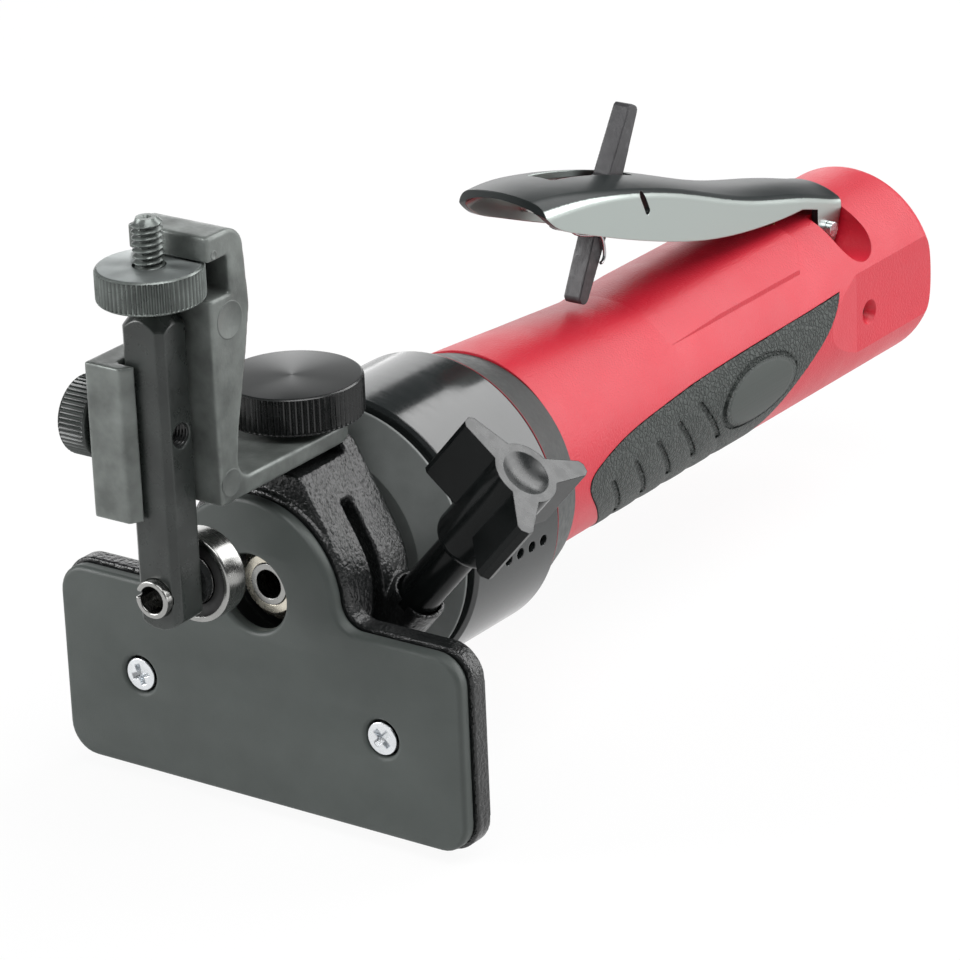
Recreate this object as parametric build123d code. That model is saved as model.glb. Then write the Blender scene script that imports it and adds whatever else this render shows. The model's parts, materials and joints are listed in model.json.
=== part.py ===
"""Air-driven hand laminate trimmer with a sliding base and an adjustable roller guide.

Millimetres. The origin is on the spindle axis at the mouth of the collet.
+X is to the right seen from the front, +Y runs along the spindle to the rear, +Z is up.
"""
import math
import os

from build123d import *

# Frame: stations along the tool are distances behind the sole's working face
COLLET_SETBACK = 5.7
FACE = -COLLET_SETBACK
RUN_FIT = 0.06
LOOSE_FIT = 0.25
PAST = 1.0  # a cut runs this far past a face that it opens
AWAY = 60.0  # well clear of the tool to either side of a cut

# Sole plate, a tee with a round lobe about the spindle
SOLE_HALF = 52.0
SOLE_BOTTOM = -47.4
SOLE_SHOULDER = -3.65
SOLE_CORNER_R = 6.7
SOLE_T = 3.5
SOLE_EDGE_R = 0.9
SOLE_HOLE_R = 8.5
LOBE_R = 21.0
LOBE_FILLET = 5.5
SCREW_X = 31.6
SCREW_Z = -25.4
SCREW_HEAD_R = 3.6
SCREW_HEAD_H = 2.0
SCREW_SHANK_R = 2.0
SCREW_LENGTH = 11.0

# Cast base: flange behind the sole, split collar, clamp boss and guide pad
FLANGE_T = 4.5
FLANGE_GROW = 0.8
COLLAR_R = 22.0
COLLAR_FRONT = 4.6
COLLAR_REAR = 26.2
COLLAR_EDGE_R = 2.2
RELIEF_FRONT = 12.7
RELIEF_WIDTH = 3.3
RELIEF_TOP_DEG = 53.0
SPLIT_WIDTH = 2.0
PAD_HALF = 6.0
PAD_TOP = 28.5
SADDLE_HALF = 10.3
SADDLE_TOP = 26.1
LIP_FRONT = 20.7
LIP_CORNER_R = 2.4
SCREW_BOSS_R = 5.0
SCREW_BOSS_H = 4.0
SCREW_BOSS_ROOT = 0.5
STUD_END_ROOM = 0.4
RIB_X = 14.0
RIB_T = 4.0
RIB_DROP = 20.0
RIB_RUN = 15.0
RIB_ROOT = 3.0
RIB_TOE = 3.0

# Clamp knob on its tangential screw
CLAMP_DEG = 49.2
CLAMP_OFFSET = 22.0
CLAMP_Y = 21.0
CLAMP_BOSS_R = 6.0
CLAMP_BOSS_TOP = 16.5
CLAMP_BOSS_LOW = -13.0
CLAMP_SINK = 2.5
CLAMP_SINK_R = 5.0
CLAMP_EAR = 4.0
STEM_R = 4.6
STEM_TOP = 43.3
STEM_COLLAR = 2.6
STEM_COLLAR_H = 9.0
STEM_COLLAR_EDGE = 2.4
STEM_END_GAP = 0.3
KNOB_DEPTH = 16.0
KNOB_REACH = 16.0
KNOB_HUB_R = 7.2
KNOB_TIP_W = 3.6
KNOB_ROOT_W = 8.0
KNOB_TIP_EDGE = 0.9
KNOB_ARMS = 3
KNOB_PHASE_DEG = 101.0
KNOB_DIMPLE_R = 5.3
KNOB_DIMPLE_D = 1.2
CLAMP_STUD_R = 2.5
CLAMP_STUD_IN = 8.0
CLAMP_STUD_SHORT = 0.5
NUT_AF = 8.0
NUT_T = 4.0

# Motor nose that the base slides on, and the smooth cap behind it
NECK_R = 16.4
NECK_FRONT = 10.0
NECK_CAVITY_R = 11.8
NECK_CHAMFER = 0.6
CONE_FRONT = 28.6
CONE_R = 21.6
CAP_RIM = 0.6
CAP_REAR = 34.1

# Motor housing with its exhaust chamber, and the steps to the rounds beside it
HOUSING_R = 31.2
HOUSING_WALL = 2.8
CAP_STEP = 1.1
CAP_R = HOUSING_R - CAP_STEP
GROOVE_DEPTH = 2.6
GROOVE_R = CAP_R - GROOVE_DEPTH
HOUSING_FRONT = 36.1
HOUSING_REAR = 66.3
HOUSING_EDGE = 0.8
CHAMBER_R = HOUSING_R - HOUSING_WALL
CHAMBER_REAR = 62.5
SPIGOT_STEP = 2.4
SPIGOT_R = CHAMBER_R - SPIGOT_STEP
SPIGOT_END = 46.0
EXHAUST_R = 1.25
EXHAUST_FIRST = 47.6
EXHAUST_PITCH = 4.2
EXHAUST_COUNT = 4
EXHAUST_DEG = -6.3
RING_REAR = 79.0
TAIL_R = 21.4
TAIL_SEAT = 3.0
TAIL_END = RING_REAR + TAIL_SEAT
RING_STEP = 1.4
RING_FRONT_R = HOUSING_R - RING_STEP
RING_LIP = 1.4
FELT_WALL = 4.6

# Vane motor
LINER_R = 18.8
LINER_BORE_R = 15.0
LINER_OFFSET = 1.2
END_PLATE_T = 4.0
LINER_LENGTH = 42.0
ROTOR_R = 13.4
ROTOR_END_GAP = 0.1
VANE_COUNT = 5
VANE_T = 1.8
VANE_DEPTH = 6.5
VANE_TIP_GAP = 0.15
PORT_COUNT = 5
PORT_R = 0.9
FRONT_BEARING_R = 13.0
FRONT_BEARING_W = 8.0
REAR_BEARING_R = 8.0
REAR_BEARING_W = 5.0
RACE_WALL = 2.0
BEARING_SHOULDER = 26.5
RETAINER_WALL = 3.5
REAR_PLATE_LIP = 1.5

# Spindle, collet and nut
SPINDLE_R = 5.0
SPINDLE_REAR_R = 4.0
SOCKET_R = 7.5
SOCKET_FRONT = 11.0
TAPER_FRONT_R = 5.7
TAPER_REAR_R = 4.2
TAPER_END = 27.0
SHANK_HOLE_END = 34.0
COLLET_BORE_R = 3.175
COLLET_NOSE_R = 4.5
COLLET_NOSE_L = 1.7
COLLET_CONE_L = 2.6
COLLET_SLIT = 0.7
COLLET_SLITS = 3
COLLET_SLIT_DEG = 30.0
COLLET_SLACK = 0.05
COLLET_END_GAP = 0.4
SHANK_ROOM = 0.3
RACE_STOP = 0.5
RACE_STOP_L = 1.0
NUT_HEX_AF = 17.0
NUT_FRONT = 6.0
NUT_FRONT_R = 6.4
NUT_CONE_END = 9.6
NUT_REAR = 21.5
NUT_EDGE = 0.9
NUT_REAR_EDGE = 0.8
NUT_NOSE_GAP = 0.1

# Handle: round, swelling upward at the front, flats at the rear and pockets for the throttle gear
HANDLE_R = 23.3
HANDLE_REAR = 237.0
HANDLE_REAR_EDGE = 3.5
HANDLE_BORE_END = 100.0
HANDLE_FRONT_R = 25.2
RING_SHOULDER = 1.3
RING_REAR_R = HANDLE_FRONT_R + RING_SHOULDER
HANDLE_TAPER_END = 131.0
FLAT_X = 21.2
FLAT_FRONT = 189.0
FLAT_BLEND = 14.0
FLAT_START_X = 23.3
PANEL_FRONT = 128.0
PANEL_FULL = 150.0
PANEL_SIDE_END = 184.0
PANEL_REAR_HALF = 12.9
PANEL_REAR = 190.6
PANEL_HALF = 17.8
PANEL_RISE = 0.8
POST_ROOM = 0.85
SCOOP_R = 6.3
GRIP_T = 2.1
GRIP_NOSE = (87.4, -2.2)
GRIP_BROW = (91.0, 1.3)
GRIP_CHIN = ((96.7, -13.3), (91.4, -8.0))  # station and height up its front edge
GRIP_TIP = (194.6, 8.2)
GRIP_TOP = ((100.0, 3.9), (117.0, 5.7), (147.0, 7.1))  # station and height along its top edge
GRIP_SWEEP = ((187.7, 1.0), (176.5, -6.7), (167.7, -14.9))  # and down its rear edge
GRIP_FLOOR = (109.0, 162.0)
GRIP_PROUD = 0.2
BADGE_Y = 158.0
BADGE_Z = -3.8
BADGE_LENGTH = 29.6
BADGE_WIDTH = 14.6
BADGE_RISE = 0.4
BADGE_MOAT_W = 0.8
BADGE_MOAT_D = 0.5
FOLD_COUNT = 5
FOLD_FIRST = 96.0
FOLD_PITCH = 9.0
FOLD_W = 1.9
FOLD_D = 0.55
FOLD_TOP_Z = -4.4
FOLD_LENGTH = 12.5
FOLD_CLIMB = 1.5
FOLD_LEAN = 11.2

# Air inlet at the rear
INLET_R = 9.5
INLET_DEPTH = 37.0
INLET_THREAD_R = 5.75
INLET_HEX_AF = 22.0
INLET_HEX_T = 4.0
INLET_HEX_EDGE = 0.6
SCREEN_T = 1.2
SCREEN_HOLE_R = 1.1
SCREEN_HOLES = 6
SCREEN_RING_R = 3.3
PASSAGE_R = 3.5
FEED_Z = -8.5
DELIVERY_Z = 5.0
RETAINING_PIN_R = 1.6
RETAINING_PIN_Y = 208.6
RETAINING_PIN_Z = -1.4
RETAINING_RECESS = 2.4
RETAINING_RIM_R = 3.0
RETAINING_WALL = 0.8

# Throttle valve
VALVE_Y = 190.0
VALVE_BORE_R = 6.2
VALVE_FLOOR = 6.3
VALVE_BOTTOM = VALVE_FLOOR - HANDLE_R
VALVE_SEAT_Z = -5.0
VALVE_TOP_Z = 23.0
VALVE_GUIDE_Z = 12.0
VALVE_CHAMBER_R = 3.7
STEM_PIN_R = 2.2
POPPET_R = 4.7
POPPET_H = 2.5
STEM_LEVER_GAP = 0.35
VALVE_WIRE = 0.8
VALVE_COIL_R = 3.6
VALVE_TURNS = 5
SPRING_SEAT_GAP = 0.1

# Throttle lever, pressed from sheet, on a cross pin near the rear
SHEET = 1.6
PIVOT_Y = 208.5
PIVOT_Z = 17.5
PIVOT_R = 1.75
PIN_HALF = 11.9
EAR_R = 4.6
LEVER_STATIONS = (
    # station, half width, shoulder height, crown above the shoulder, shoulder radius
    (84.0, 11.0, 57.8, 2.4, 5.0),
    (96.0, 11.8, 57.2, 2.4, 4.5),
    (107.6, 12.5, 55.7, 2.6, 3.5),
    (122.5, 12.6, 52.3, 2.8, 2.5),
    (140.0, 12.2, 47.3, 2.5, 2.2),
    (163.0, 11.3, 38.9, 2.4, 2.2),
    (184.0, 10.8, 32.1, 2.6, 2.2),
    (201.0, 10.5, 27.4, 2.8, 2.2),
    (216.0, 10.4, 22.8, 3.0, 2.2),
)
LEVER_WALL_DROP = 26.0
LEVER_FRONT = 91.0
LEVER_REAR = 214.4
LEVER_BROW_Z = 58.0
LEVER_BELLY = (
    # station and height along the lower edge of its sides, front to rear
    (92.6, 55.6),
    (97.0, 51.6),
    (104.0, 48.4),
    (115.0, 44.2),
    (133.0, 37.8),
    (158.5, 30.4),
    (179.0, 26.9),
    (197.0, 25.6),
)
EAR_NECK = 6.0
EAR_HEEL = 3.5
TIP_RADIUS = 32.0
SLOT_AHEAD = 9.5
SLOT_BEHIND = 21.9
SLOT_HALF = 3.5
SLOT_CORNER_R = 1.0
SIDE_SLOT_Y = 129.4
SIDE_SLOT_Z = 47.8
SIDE_SLOT_L = 6.4
SIDE_SLOT_W = 1.7
SIDE_SLOT_DEG = 116.0

# Safety lock that swings in the lever, its ends given from its pin
LOCK_Y = 116.5
LOCK_Z = 47.5
LOCK_PIN_R = 1.5
LOCK_PIN_END = 0.8
LOCK_HUB_R = 4.2
LOCK_WEB_HALF = 3.36
LOCK_HALF = 2.2
LOCK_FOOT = (2.5, -22.1)
LOCK_TOP = (25.3, 18.1)
LOCK_FOOT_HALF = 1.7
LOCK_MID_HALF = 2.9
LOCK_TOP_HALF = 1.7
LOCK_MID = 0.58
LOCK_EDGE_R = 1.2
LOCK_TOE_R = 1.6
LOCK_WIRE = 0.8
LOCK_COIL_R = 3.0
LOCK_TURNS = 4
LOCK_COIL_START = 2.9
LOCK_COIL_DEG = 180.0
LOCK_SPRING_LEAD = 3.0
LOCK_HOOK = (
    # place behind and above the pin, and heading, of each bend of the hooked end
    (5.5, -6.5, 1.0, -0.3),
    (10.1, -8.9, 0.4, -1.0),
    (10.7, -12.3, 0.0, -1.0),
    (9.1, -14.1, -1.0, 0.0),
)
COIL_GAP = 0.6

# Roller guide bar with its threaded end
BAR_Y = -25.4
BAR_HALF_X = 5.3
BAR_HALF_Y = 4.6
BAR_CHAMFER = 1.4
BAR_TOP = 70.0
BAR_CONE = 1.24
BAR_LAND = 0.7
STUD_R = 3.175
STUD_TOP = 89.5
STUD_CHAMFER = 0.9
ROLLER_Z = 10.4
BAR_END_R = 7.0
CROSS_HOLE_Z = 44.7
CROSS_HOLE_R = 2.6
ROLLER_R = 9.5
ROLLER_W = 6.0
ROLLER_GAP = 1.9
ROLLER_RIM = 1.2
ROLLER_EDGE = 0.4
INNER_RACE_R = 5.5
PIN_R = 4.0
PIN_WALL = 1.1
PIN_PROUD = 1.8
PIN_GAP = 1.3
PIN_SLOT_DEG = 168.0
SEAL_T = 0.8
SEAL_SUNK = 0.4
PIN_END = 0.3

# Guide bracket, die cast, and its knobs
BRACKET_HALF = 10.8
BRACKET_FACE_GAP = 0.4
BRACKET_TOP = 85.2
SPINE_LEFT = 9.2
SPINE_CREST = 11.0
SPINE_BACK = (
    # depth behind the spine's face and height, down its rear
    (11.4, 79.0),
    (12.2, 68.0),
    (10.4, 58.7),
    (6.6, 43.0),
)
SPINE_HEEL = 5.2
FOOT_BOTTOM = 28.6
FOOT_T = 4.0
FOOT_FILLET = 4.0
BRACKET_TOP_R = 5.0
WALL_T = 6.2
LIP_T = 2.9
LIP_GAP = 0.6
LIP_REACH = 4.6
LIP_CHAMFER = 1.8
WALL_TOP = 59.8
WALL_BOTTOM = 26.8
WHEEL_R = 11.0
WHEEL_BOTTOM = 72.4
WHEEL_H = 7.2
WHEEL_EDGE = 0.6
WHEEL_GAP = 0.3
BAR_DROP = 7.7
BAR_LIFT = 1.3
GUIDE_SHIFT = 3.0
BIG_KNOB_R = 14.8
BIG_KNOB_Y = 17.4
BIG_KNOB_BOTTOM = 34.1
BIG_KNOB_H = 8.3
BIG_KNOB_HUB_R = 6.5
BIG_STUD_R = 3.0
BIG_STUD_LOW = 18.6
SLOT_ROOM = 0.3
KNOB_SEAT_GAP = 0.15
LOCK_KNOB_R = 8.3
LOCK_KNOB_W = 7.0
LOCK_KNOB_GAP = 1.3
LOCK_KNOB_HUB_R = 5.2
LOCK_SCREW_R = 2.5
LOCK_SCREW_IN = 4.5


# Places that several pieces share
SOLE_BACK = FACE + SOLE_T
FLANGE_BACK = SOLE_BACK + FLANGE_T
LINER_FRONT = SPIGOT_END + END_PLATE_T
LINER_REAR = LINER_FRONT + LINER_LENGTH
REAR_PLATE_T = HANDLE_BORE_END - LINER_REAR
REAR_BEARING_FRONT = LINER_REAR + REAR_PLATE_LIP
INLET_BOTTOM = HANDLE_REAR - INLET_DEPTH
BAR_MID = FACE + BAR_Y
BAR_BACK = BAR_MID + BAR_HALF_Y
BAR_FRONT = BAR_MID - BAR_HALF_Y
ROLLER_FRONT = BAR_BACK + ROLLER_GAP
FOOT_TOP = FOOT_BOTTOM + FOOT_T
JAW_IN = -BAR_HALF_X - LOOSE_FIT
JAW_OUT = JAW_IN - WALL_T
LOCK_KNOB_IN = JAW_OUT - LOCK_KNOB_GAP


def st(distance):
    """Station: the Y of a plane this far behind the sole's working face."""
    return FACE + distance


def along_y(sketch, y0, y1):
    """Extrude a sketch drawn in X and Z from one Y to another."""
    plane = Plane(origin=(0, y0, 0), x_dir=(1, 0, 0), z_dir=(0, -1, 0))
    return extrude(plane * sketch, amount=-(y1 - y0))


def along_x(sketch, x0, x1):
    """Extrude a sketch drawn in Y and Z from one X to another."""
    plane = Plane(origin=(x0, 0, 0), x_dir=(0, 1, 0), z_dir=(1, 0, 0))
    return extrude(plane * sketch, amount=x1 - x0)


def along_z(sketch, z0, z1):
    """Extrude a sketch drawn in X and Y from one Z to another."""
    return extrude(Plane.XY.offset(z0) * sketch, amount=z1 - z0)


def rod_y(radius, y0, y1, x=0.0, z=0.0):
    return along_y(Pos(x, z) * Circle(radius), y0, y1)


def rod_x(radius, x0, x1, y=0.0, z=0.0):
    return along_x(Pos(y, z) * Circle(radius), x0, x1)


def rod_z(radius, z0, z1, x=0.0, y=0.0):
    return along_z(Pos(x, y) * Circle(radius), z0, z1)


def ring_y(outer, inner, y0, y1):
    return rod_y(outer, y0, y1) - rod_y(inner, y0 - PAST, y1 + PAST)


def block(x0, x1, y0, y1, z0, z1):
    sizes = (x1 - x0, y1 - y0, z1 - z0)
    return Pos((x0 + x1) / 2, (y0 + y1) / 2, (z0 + z1) / 2) * Box(*sizes)


def turned(points):
    """Revolve a closed profile of (radius, y) points about the spindle axis."""
    return revolve(make_face(Polyline(*points, close=True)), Axis.Y)


def polygon(points):
    return make_face(Polyline(*points, close=True))


def keep_one(shape):
    """The largest solid of a shape."""
    return max(shape.solids(), key=lambda solid: solid.volume)


def polar(radius, degrees):
    angle = math.radians(degrees)
    return (radius * math.cos(angle), radius * math.sin(angle))


def biarc(p0, t0, p1, t1):
    """Two arcs, or one straight, that leave p0 along t0 and reach p1 along t1."""
    chord = p1 - p0
    if chord.normalized().dot(t0) > 0.99999 and chord.normalized().dot(t1) > 0.99999:
        return [Line(p0, p1)]
    a = 2 * (t0.dot(t1) - 1)
    b = -2 * chord.dot(t0 + t1)
    c = chord.dot(chord)
    reach = -c / b if abs(a) < 1e-9 else (-b - math.sqrt(b * b - 4 * a * c)) / (2 * a)
    joint = (p0 + t0 * reach + p1 - t1 * reach) * 0.5
    return [TangentArc(p0, joint, tangent=t0), TangentArc(p1, joint, tangent=-t1)]


def helix_nodes(radius, turns, pitch, start_deg=0.0):
    """Points and headings each quarter turn on a helix about +Z."""
    nodes = []
    for step in range(turns * 4 + 1):
        angle = math.radians(start_deg) + math.pi / 2 * step
        spot = Vector(radius * math.cos(angle), radius * math.sin(angle), pitch * step / 4)
        heading = Vector(-radius * math.sin(angle), radius * math.cos(angle), pitch / (2 * math.pi))
        nodes.append((spot, heading.normalized()))
    return nodes


def wire(nodes, thickness):
    """One unbroken round wire through points with headings."""
    edges = []
    for (p0, t0), (p1, t1) in zip(nodes, nodes[1:]):
        edges += biarc(p0, t0, p1, t1)
    path = Wire(edges)
    count = 400
    points = [path @ (k / count) for k in range(count + 1)]
    skip = int(3 * thickness * count / path.length) + 1
    spans = [(a - b).length for k, a in enumerate(points) for b in points[k + skip:]]
    print(f"wire {thickness} mm, least gap to itself {min(spans) - thickness:.2f} mm")
    return sweep(Plane(origin=path @ 0, z_dir=path % 0) * Circle(thickness / 2), path=path)


def tee(grow):
    """The sole's outline, grown by a margin."""
    top = SOLE_SHOULDER + grow
    bottom = SOLE_BOTTOM - grow
    bar = Pos(0, (top + bottom) / 2) * RectangleRounded(
        2 * (SOLE_HALF + grow), top - bottom, SOLE_CORNER_R + grow)
    outline = bar + Circle(LOBE_R + grow)
    corners = [v for v in outline.vertices() if abs(v.Y - top) < 0.01 and abs(v.X) < LOBE_R + grow]
    return fillet(corners, LOBE_FILLET - grow)


# Sole, screws and cast base

def flat_head_screw(x):
    end = FACE + SCREW_LENGTH
    neck = FACE + SCREW_HEAD_H
    profile = ((0, FACE), (SCREW_HEAD_R, FACE), (SCREW_SHANK_R, neck), (SCREW_SHANK_R, end), (0, end))
    return Pos(x, 0, SCREW_Z) * turned(profile)


def make_sub_base():
    plate = along_y(tee(0), FACE, SOLE_BACK)
    front = plate.faces().sort_by(Axis.Y)[0]
    plate = fillet(front.edges(), SOLE_EDGE_R)
    plate -= rod_y(SOLE_HOLE_R, FACE - PAST, SOLE_BACK + PAST)
    for side in (-1, 1):
        plate -= flat_head_screw(side * SCREW_X)
    return plate


def make_sub_base_screws():
    return Compound([flat_head_screw(side * SCREW_X) for side in (-1, 1)])


def clamp_frame(t=0.0):
    """A plane across the clamp screw, t along it, with its X pointing away from the spindle."""
    angle = math.radians(CLAMP_DEG)
    along = Vector(math.cos(angle), 0, math.sin(angle))
    out = Vector(math.sin(angle), 0, -math.cos(angle))
    origin = out * CLAMP_OFFSET + along * t + Vector(0, st(CLAMP_Y), 0)
    return Plane(origin=origin, x_dir=out, z_dir=along)


def clamp_rod(radius, t0, t1):
    return extrude(clamp_frame(t0) * Circle(radius), amount=t1 - t0)


def clamp_nut_shape():
    hexagon = RegularPolygon(NUT_AF / 2, 6, major_radius=False)
    return extrude(clamp_frame(CLAMP_BOSS_LOW) * hexagon, amount=NUT_T)


def sector(radius, low, high):
    middle = (low + high) / 2
    arc = ThreePointArc(polar(radius, low), polar(radius, middle), polar(radius, high))
    return make_face([Line((0, 0), polar(radius, low)), arc, Line(polar(radius, high), (0, 0))])


def saddle(top):
    """The collar's round with flanks that rise from it, straight, to a flat top."""
    corner = math.atan2(SADDLE_TOP, SADDLE_HALF)
    touch = corner - math.acos(COLLAR_R / math.hypot(SADDLE_TOP, SADDLE_HALF))
    side, height = polar(COLLAR_R, math.degrees(touch))
    half = side - (top - height) * math.tan(touch)
    return Circle(COLLAR_R) + polygon(((0, 0), (side, height), (half, top), (-half, top), (-side, height)))


def make_base_casting():
    collar_back = st(COLLAR_REAR)
    body = along_y(tee(FLANGE_GROW), SOLE_BACK, FLANGE_BACK)
    body += along_y(saddle(SADDLE_TOP), st(COLLAR_FRONT), st(LIP_FRONT))
    lip = saddle(PAD_TOP)
    lip = fillet(lip.vertices().group_by(Axis.Y)[-1], LIP_CORNER_R)
    collar = along_y(lip, st(LIP_FRONT), collar_back)
    body += fillet(collar.faces().sort_by(Axis.Y)[-1].edges(), COLLAR_EDGE_R)
    body += block(-PAD_HALF, PAD_HALF, st(COLLAR_FRONT), st(LIP_FRONT), 0, PAD_TOP)
    body += clamp_rod(CLAMP_BOSS_R, CLAMP_BOSS_LOW, CLAMP_BOSS_TOP)
    root = FLANGE_BACK - SCREW_BOSS_ROOT
    rib_z = -math.sqrt(COLLAR_R**2 - (RIB_X + RIB_T)**2)
    rib = polygon((
        (root, rib_z + RIB_ROOT), (FLANGE_BACK + RIB_RUN, rib_z + RIB_ROOT),
        (FLANGE_BACK + RIB_RUN, rib_z - RIB_TOE), (FLANGE_BACK, rib_z - RIB_DROP), (root, rib_z - RIB_DROP)))
    for side in (-1, 1):
        body += along_x(rib, side * RIB_X - RIB_T / 2, side * RIB_X + RIB_T / 2)
        body += rod_y(SCREW_BOSS_R, root, FLANGE_BACK + SCREW_BOSS_H, side * SCREW_X, SCREW_Z)
    body -= rod_y(NECK_R + RUN_FIT, FACE, collar_back + RIB_RUN)
    relief = sector(COLLAR_R + AWAY, CLAMP_DEG - 90, RELIEF_TOP_DEG)
    body -= along_y(relief, st(RELIEF_FRONT), st(RELIEF_FRONT + RELIEF_WIDTH))
    split_length = COLLAR_REAR - RELIEF_FRONT + 2 * PAST
    split = Box(2 * (CLAMP_BOSS_R + CLAMP_EAR), split_length, SPLIT_WIDTH)
    body -= clamp_frame(SPLIT_WIDTH / 2) * Pos(0, RELIEF_FRONT + split_length / 2 - CLAMP_Y, 0) * split
    body -= clamp_rod(CLAMP_STUD_R + LOOSE_FIT, CLAMP_BOSS_LOW - PAST, CLAMP_BOSS_TOP + PAST)
    body -= clamp_rod(CLAMP_SINK_R, CLAMP_BOSS_TOP - CLAMP_SINK, STEM_TOP)
    body -= clamp_nut_shape()
    body -= rod_z(BIG_STUD_R + RUN_FIT, BIG_STUD_LOW - STUD_END_ROOM, PAD_TOP + PAST, 0, st(BIG_KNOB_Y))
    for side in (-1, 1):
        body -= rod_y(SCREW_SHANK_R, SOLE_BACK - PAST, FACE + SCREW_LENGTH, side * SCREW_X, SCREW_Z)
    return keep_one(body)


def make_clamp_nut():
    return clamp_nut_shape() - clamp_rod(CLAMP_STUD_R + RUN_FIT, CLAMP_BOSS_LOW - PAST, CLAMP_BOSS_TOP)


def make_clamp_knob():
    root, tip, edge = KNOB_ROOT_W / 2, KNOB_TIP_W / 2, KNOB_TIP_EDGE
    half = ((0, root), (KNOB_REACH - edge, tip), (KNOB_REACH, tip - edge))
    arm = polygon(list(half) + [(x, -y) for x, y in reversed(half)])
    star = Circle(KNOB_HUB_R)
    for number in range(KNOB_ARMS):
        star += Rot(0, 0, KNOB_PHASE_DEG + 90 + 360 / KNOB_ARMS * number) * arm
    face_t = STEM_TOP + KNOB_DEPTH
    body = extrude(clamp_frame(STEM_TOP) * star, amount=KNOB_DEPTH)
    dish = (KNOB_DIMPLE_R**2 + KNOB_DIMPLE_D**2) / (2 * KNOB_DIMPLE_D)
    body -= clamp_frame(face_t - KNOB_DIMPLE_D + dish) * Sphere(dish)
    body += clamp_rod(STEM_R, CLAMP_BOSS_TOP - CLAMP_SINK + STEM_END_GAP, STEM_TOP)
    flare = clamp_rod(STEM_R + STEM_COLLAR, STEM_TOP - STEM_COLLAR_H, STEM_TOP)
    body += fillet(flare.edges().filter_by(GeomType.CIRCLE).sort_by(Axis.Z)[0], STEM_COLLAR_EDGE)
    return keep_one(body - clamp_rod(CLAMP_STUD_R, CLAMP_BOSS_LOW, STEM_TOP + CLAMP_STUD_IN))


def make_clamp_stud():
    return clamp_rod(CLAMP_STUD_R, CLAMP_BOSS_LOW + CLAMP_STUD_SHORT, STEM_TOP + CLAMP_STUD_IN)


# Motor nose, housing and handle

def make_nose_cap():
    return turned((
        (NECK_CAVITY_R, st(NECK_FRONT)), (NECK_R - NECK_CHAMFER, st(NECK_FRONT)),
        (NECK_R, st(NECK_FRONT) + NECK_CHAMFER), (NECK_R, st(CONE_FRONT)), (CONE_R, st(CONE_FRONT)),
        (CAP_R, st(CAP_REAR) - CAP_RIM), (CAP_R, st(CAP_REAR)), (GROOVE_R, st(CAP_REAR)),
        (GROOVE_R, st(HOUSING_FRONT)), (SPIGOT_R, st(HOUSING_FRONT)), (SPIGOT_R, st(SPIGOT_END)),
        (FRONT_BEARING_R, st(SPIGOT_END)), (FRONT_BEARING_R, st(BEARING_SHOULDER)),
        (NECK_CAVITY_R, st(BEARING_SHOULDER))))


def make_bearing_retainer():
    start = BEARING_SHOULDER + FRONT_BEARING_W
    inner = FRONT_BEARING_R - RETAINER_WALL
    return turned(((inner, st(start)), (FRONT_BEARING_R, st(start)), (FRONT_BEARING_R, st(SPIGOT_END)),
                   (inner, st(SPIGOT_END))))


def make_motor_housing():
    body = turned((
        (SPIGOT_R, st(HOUSING_FRONT)), (HOUSING_R - HOUSING_EDGE, st(HOUSING_FRONT)),
        (HOUSING_R, st(HOUSING_FRONT) + HOUSING_EDGE), (HOUSING_R, st(HOUSING_REAR) - HOUSING_EDGE),
        (HOUSING_R - HOUSING_EDGE, st(HOUSING_REAR)), (TAIL_R, st(HOUSING_REAR)), (TAIL_R, st(TAIL_END)),
        (LINER_R, st(TAIL_END)), (LINER_R, st(CHAMBER_REAR)), (CHAMBER_R, st(CHAMBER_REAR)),
        (CHAMBER_R, st(SPIGOT_END)), (SPIGOT_R, st(SPIGOT_END))))
    for angle in (EXHAUST_DEG, 180 - EXHAUST_DEG):
        x, z = polar(1, angle)
        for number in range(EXHAUST_COUNT):
            y = st(EXHAUST_FIRST + EXHAUST_PITCH * number)
            inside = CHAMBER_R - PAST
            start = Plane(origin=(x * inside, y, z * inside), z_dir=(x, 0, z))
            body -= extrude(start * Circle(EXHAUST_R), amount=HOUSING_R)
    return body


def make_muffler_felt():
    inner = CHAMBER_R - FELT_WALL
    return turned(((inner, st(SPIGOT_END)), (CHAMBER_R, st(SPIGOT_END)), (CHAMBER_R, st(CHAMBER_REAR)),
                   (inner, st(CHAMBER_REAR))))


def make_collar_ring():
    return turned((
        (TAIL_R, st(HOUSING_REAR)), (RING_FRONT_R, st(HOUSING_REAR)),
        (RING_FRONT_R, st(HOUSING_REAR) + RING_LIP), (RING_REAR_R, st(RING_REAR)), (TAIL_R, st(RING_REAR))))


def handle_form(grow, y0, y1):
    """The handle's outside grown by a margin: its underside is straight, its top falls from the front."""
    straight = rod_y(HANDLE_R + grow, st(HANDLE_TAPER_END), st(HANDLE_REAR))
    lift = HANDLE_FRONT_R - HANDLE_R
    ends = ((RING_REAR, HANDLE_FRONT_R, lift), (HANDLE_TAPER_END, HANDLE_R, 0.0))
    rings = []
    for station, radius, height in ends:
        plane = Plane(origin=(0, st(station), height), x_dir=(1, 0, 0), z_dir=(0, -1, 0))
        rings.append(plane * Circle(radius + grow))
    whole = loft(rings, ruled=True) + straight
    return whole & block(-AWAY, AWAY, st(y0), st(y1), -AWAY, AWAY)


def on_side(points):
    """Stations and heights as points of a side view."""
    return [(st(station), height) for station, height in points]


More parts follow.
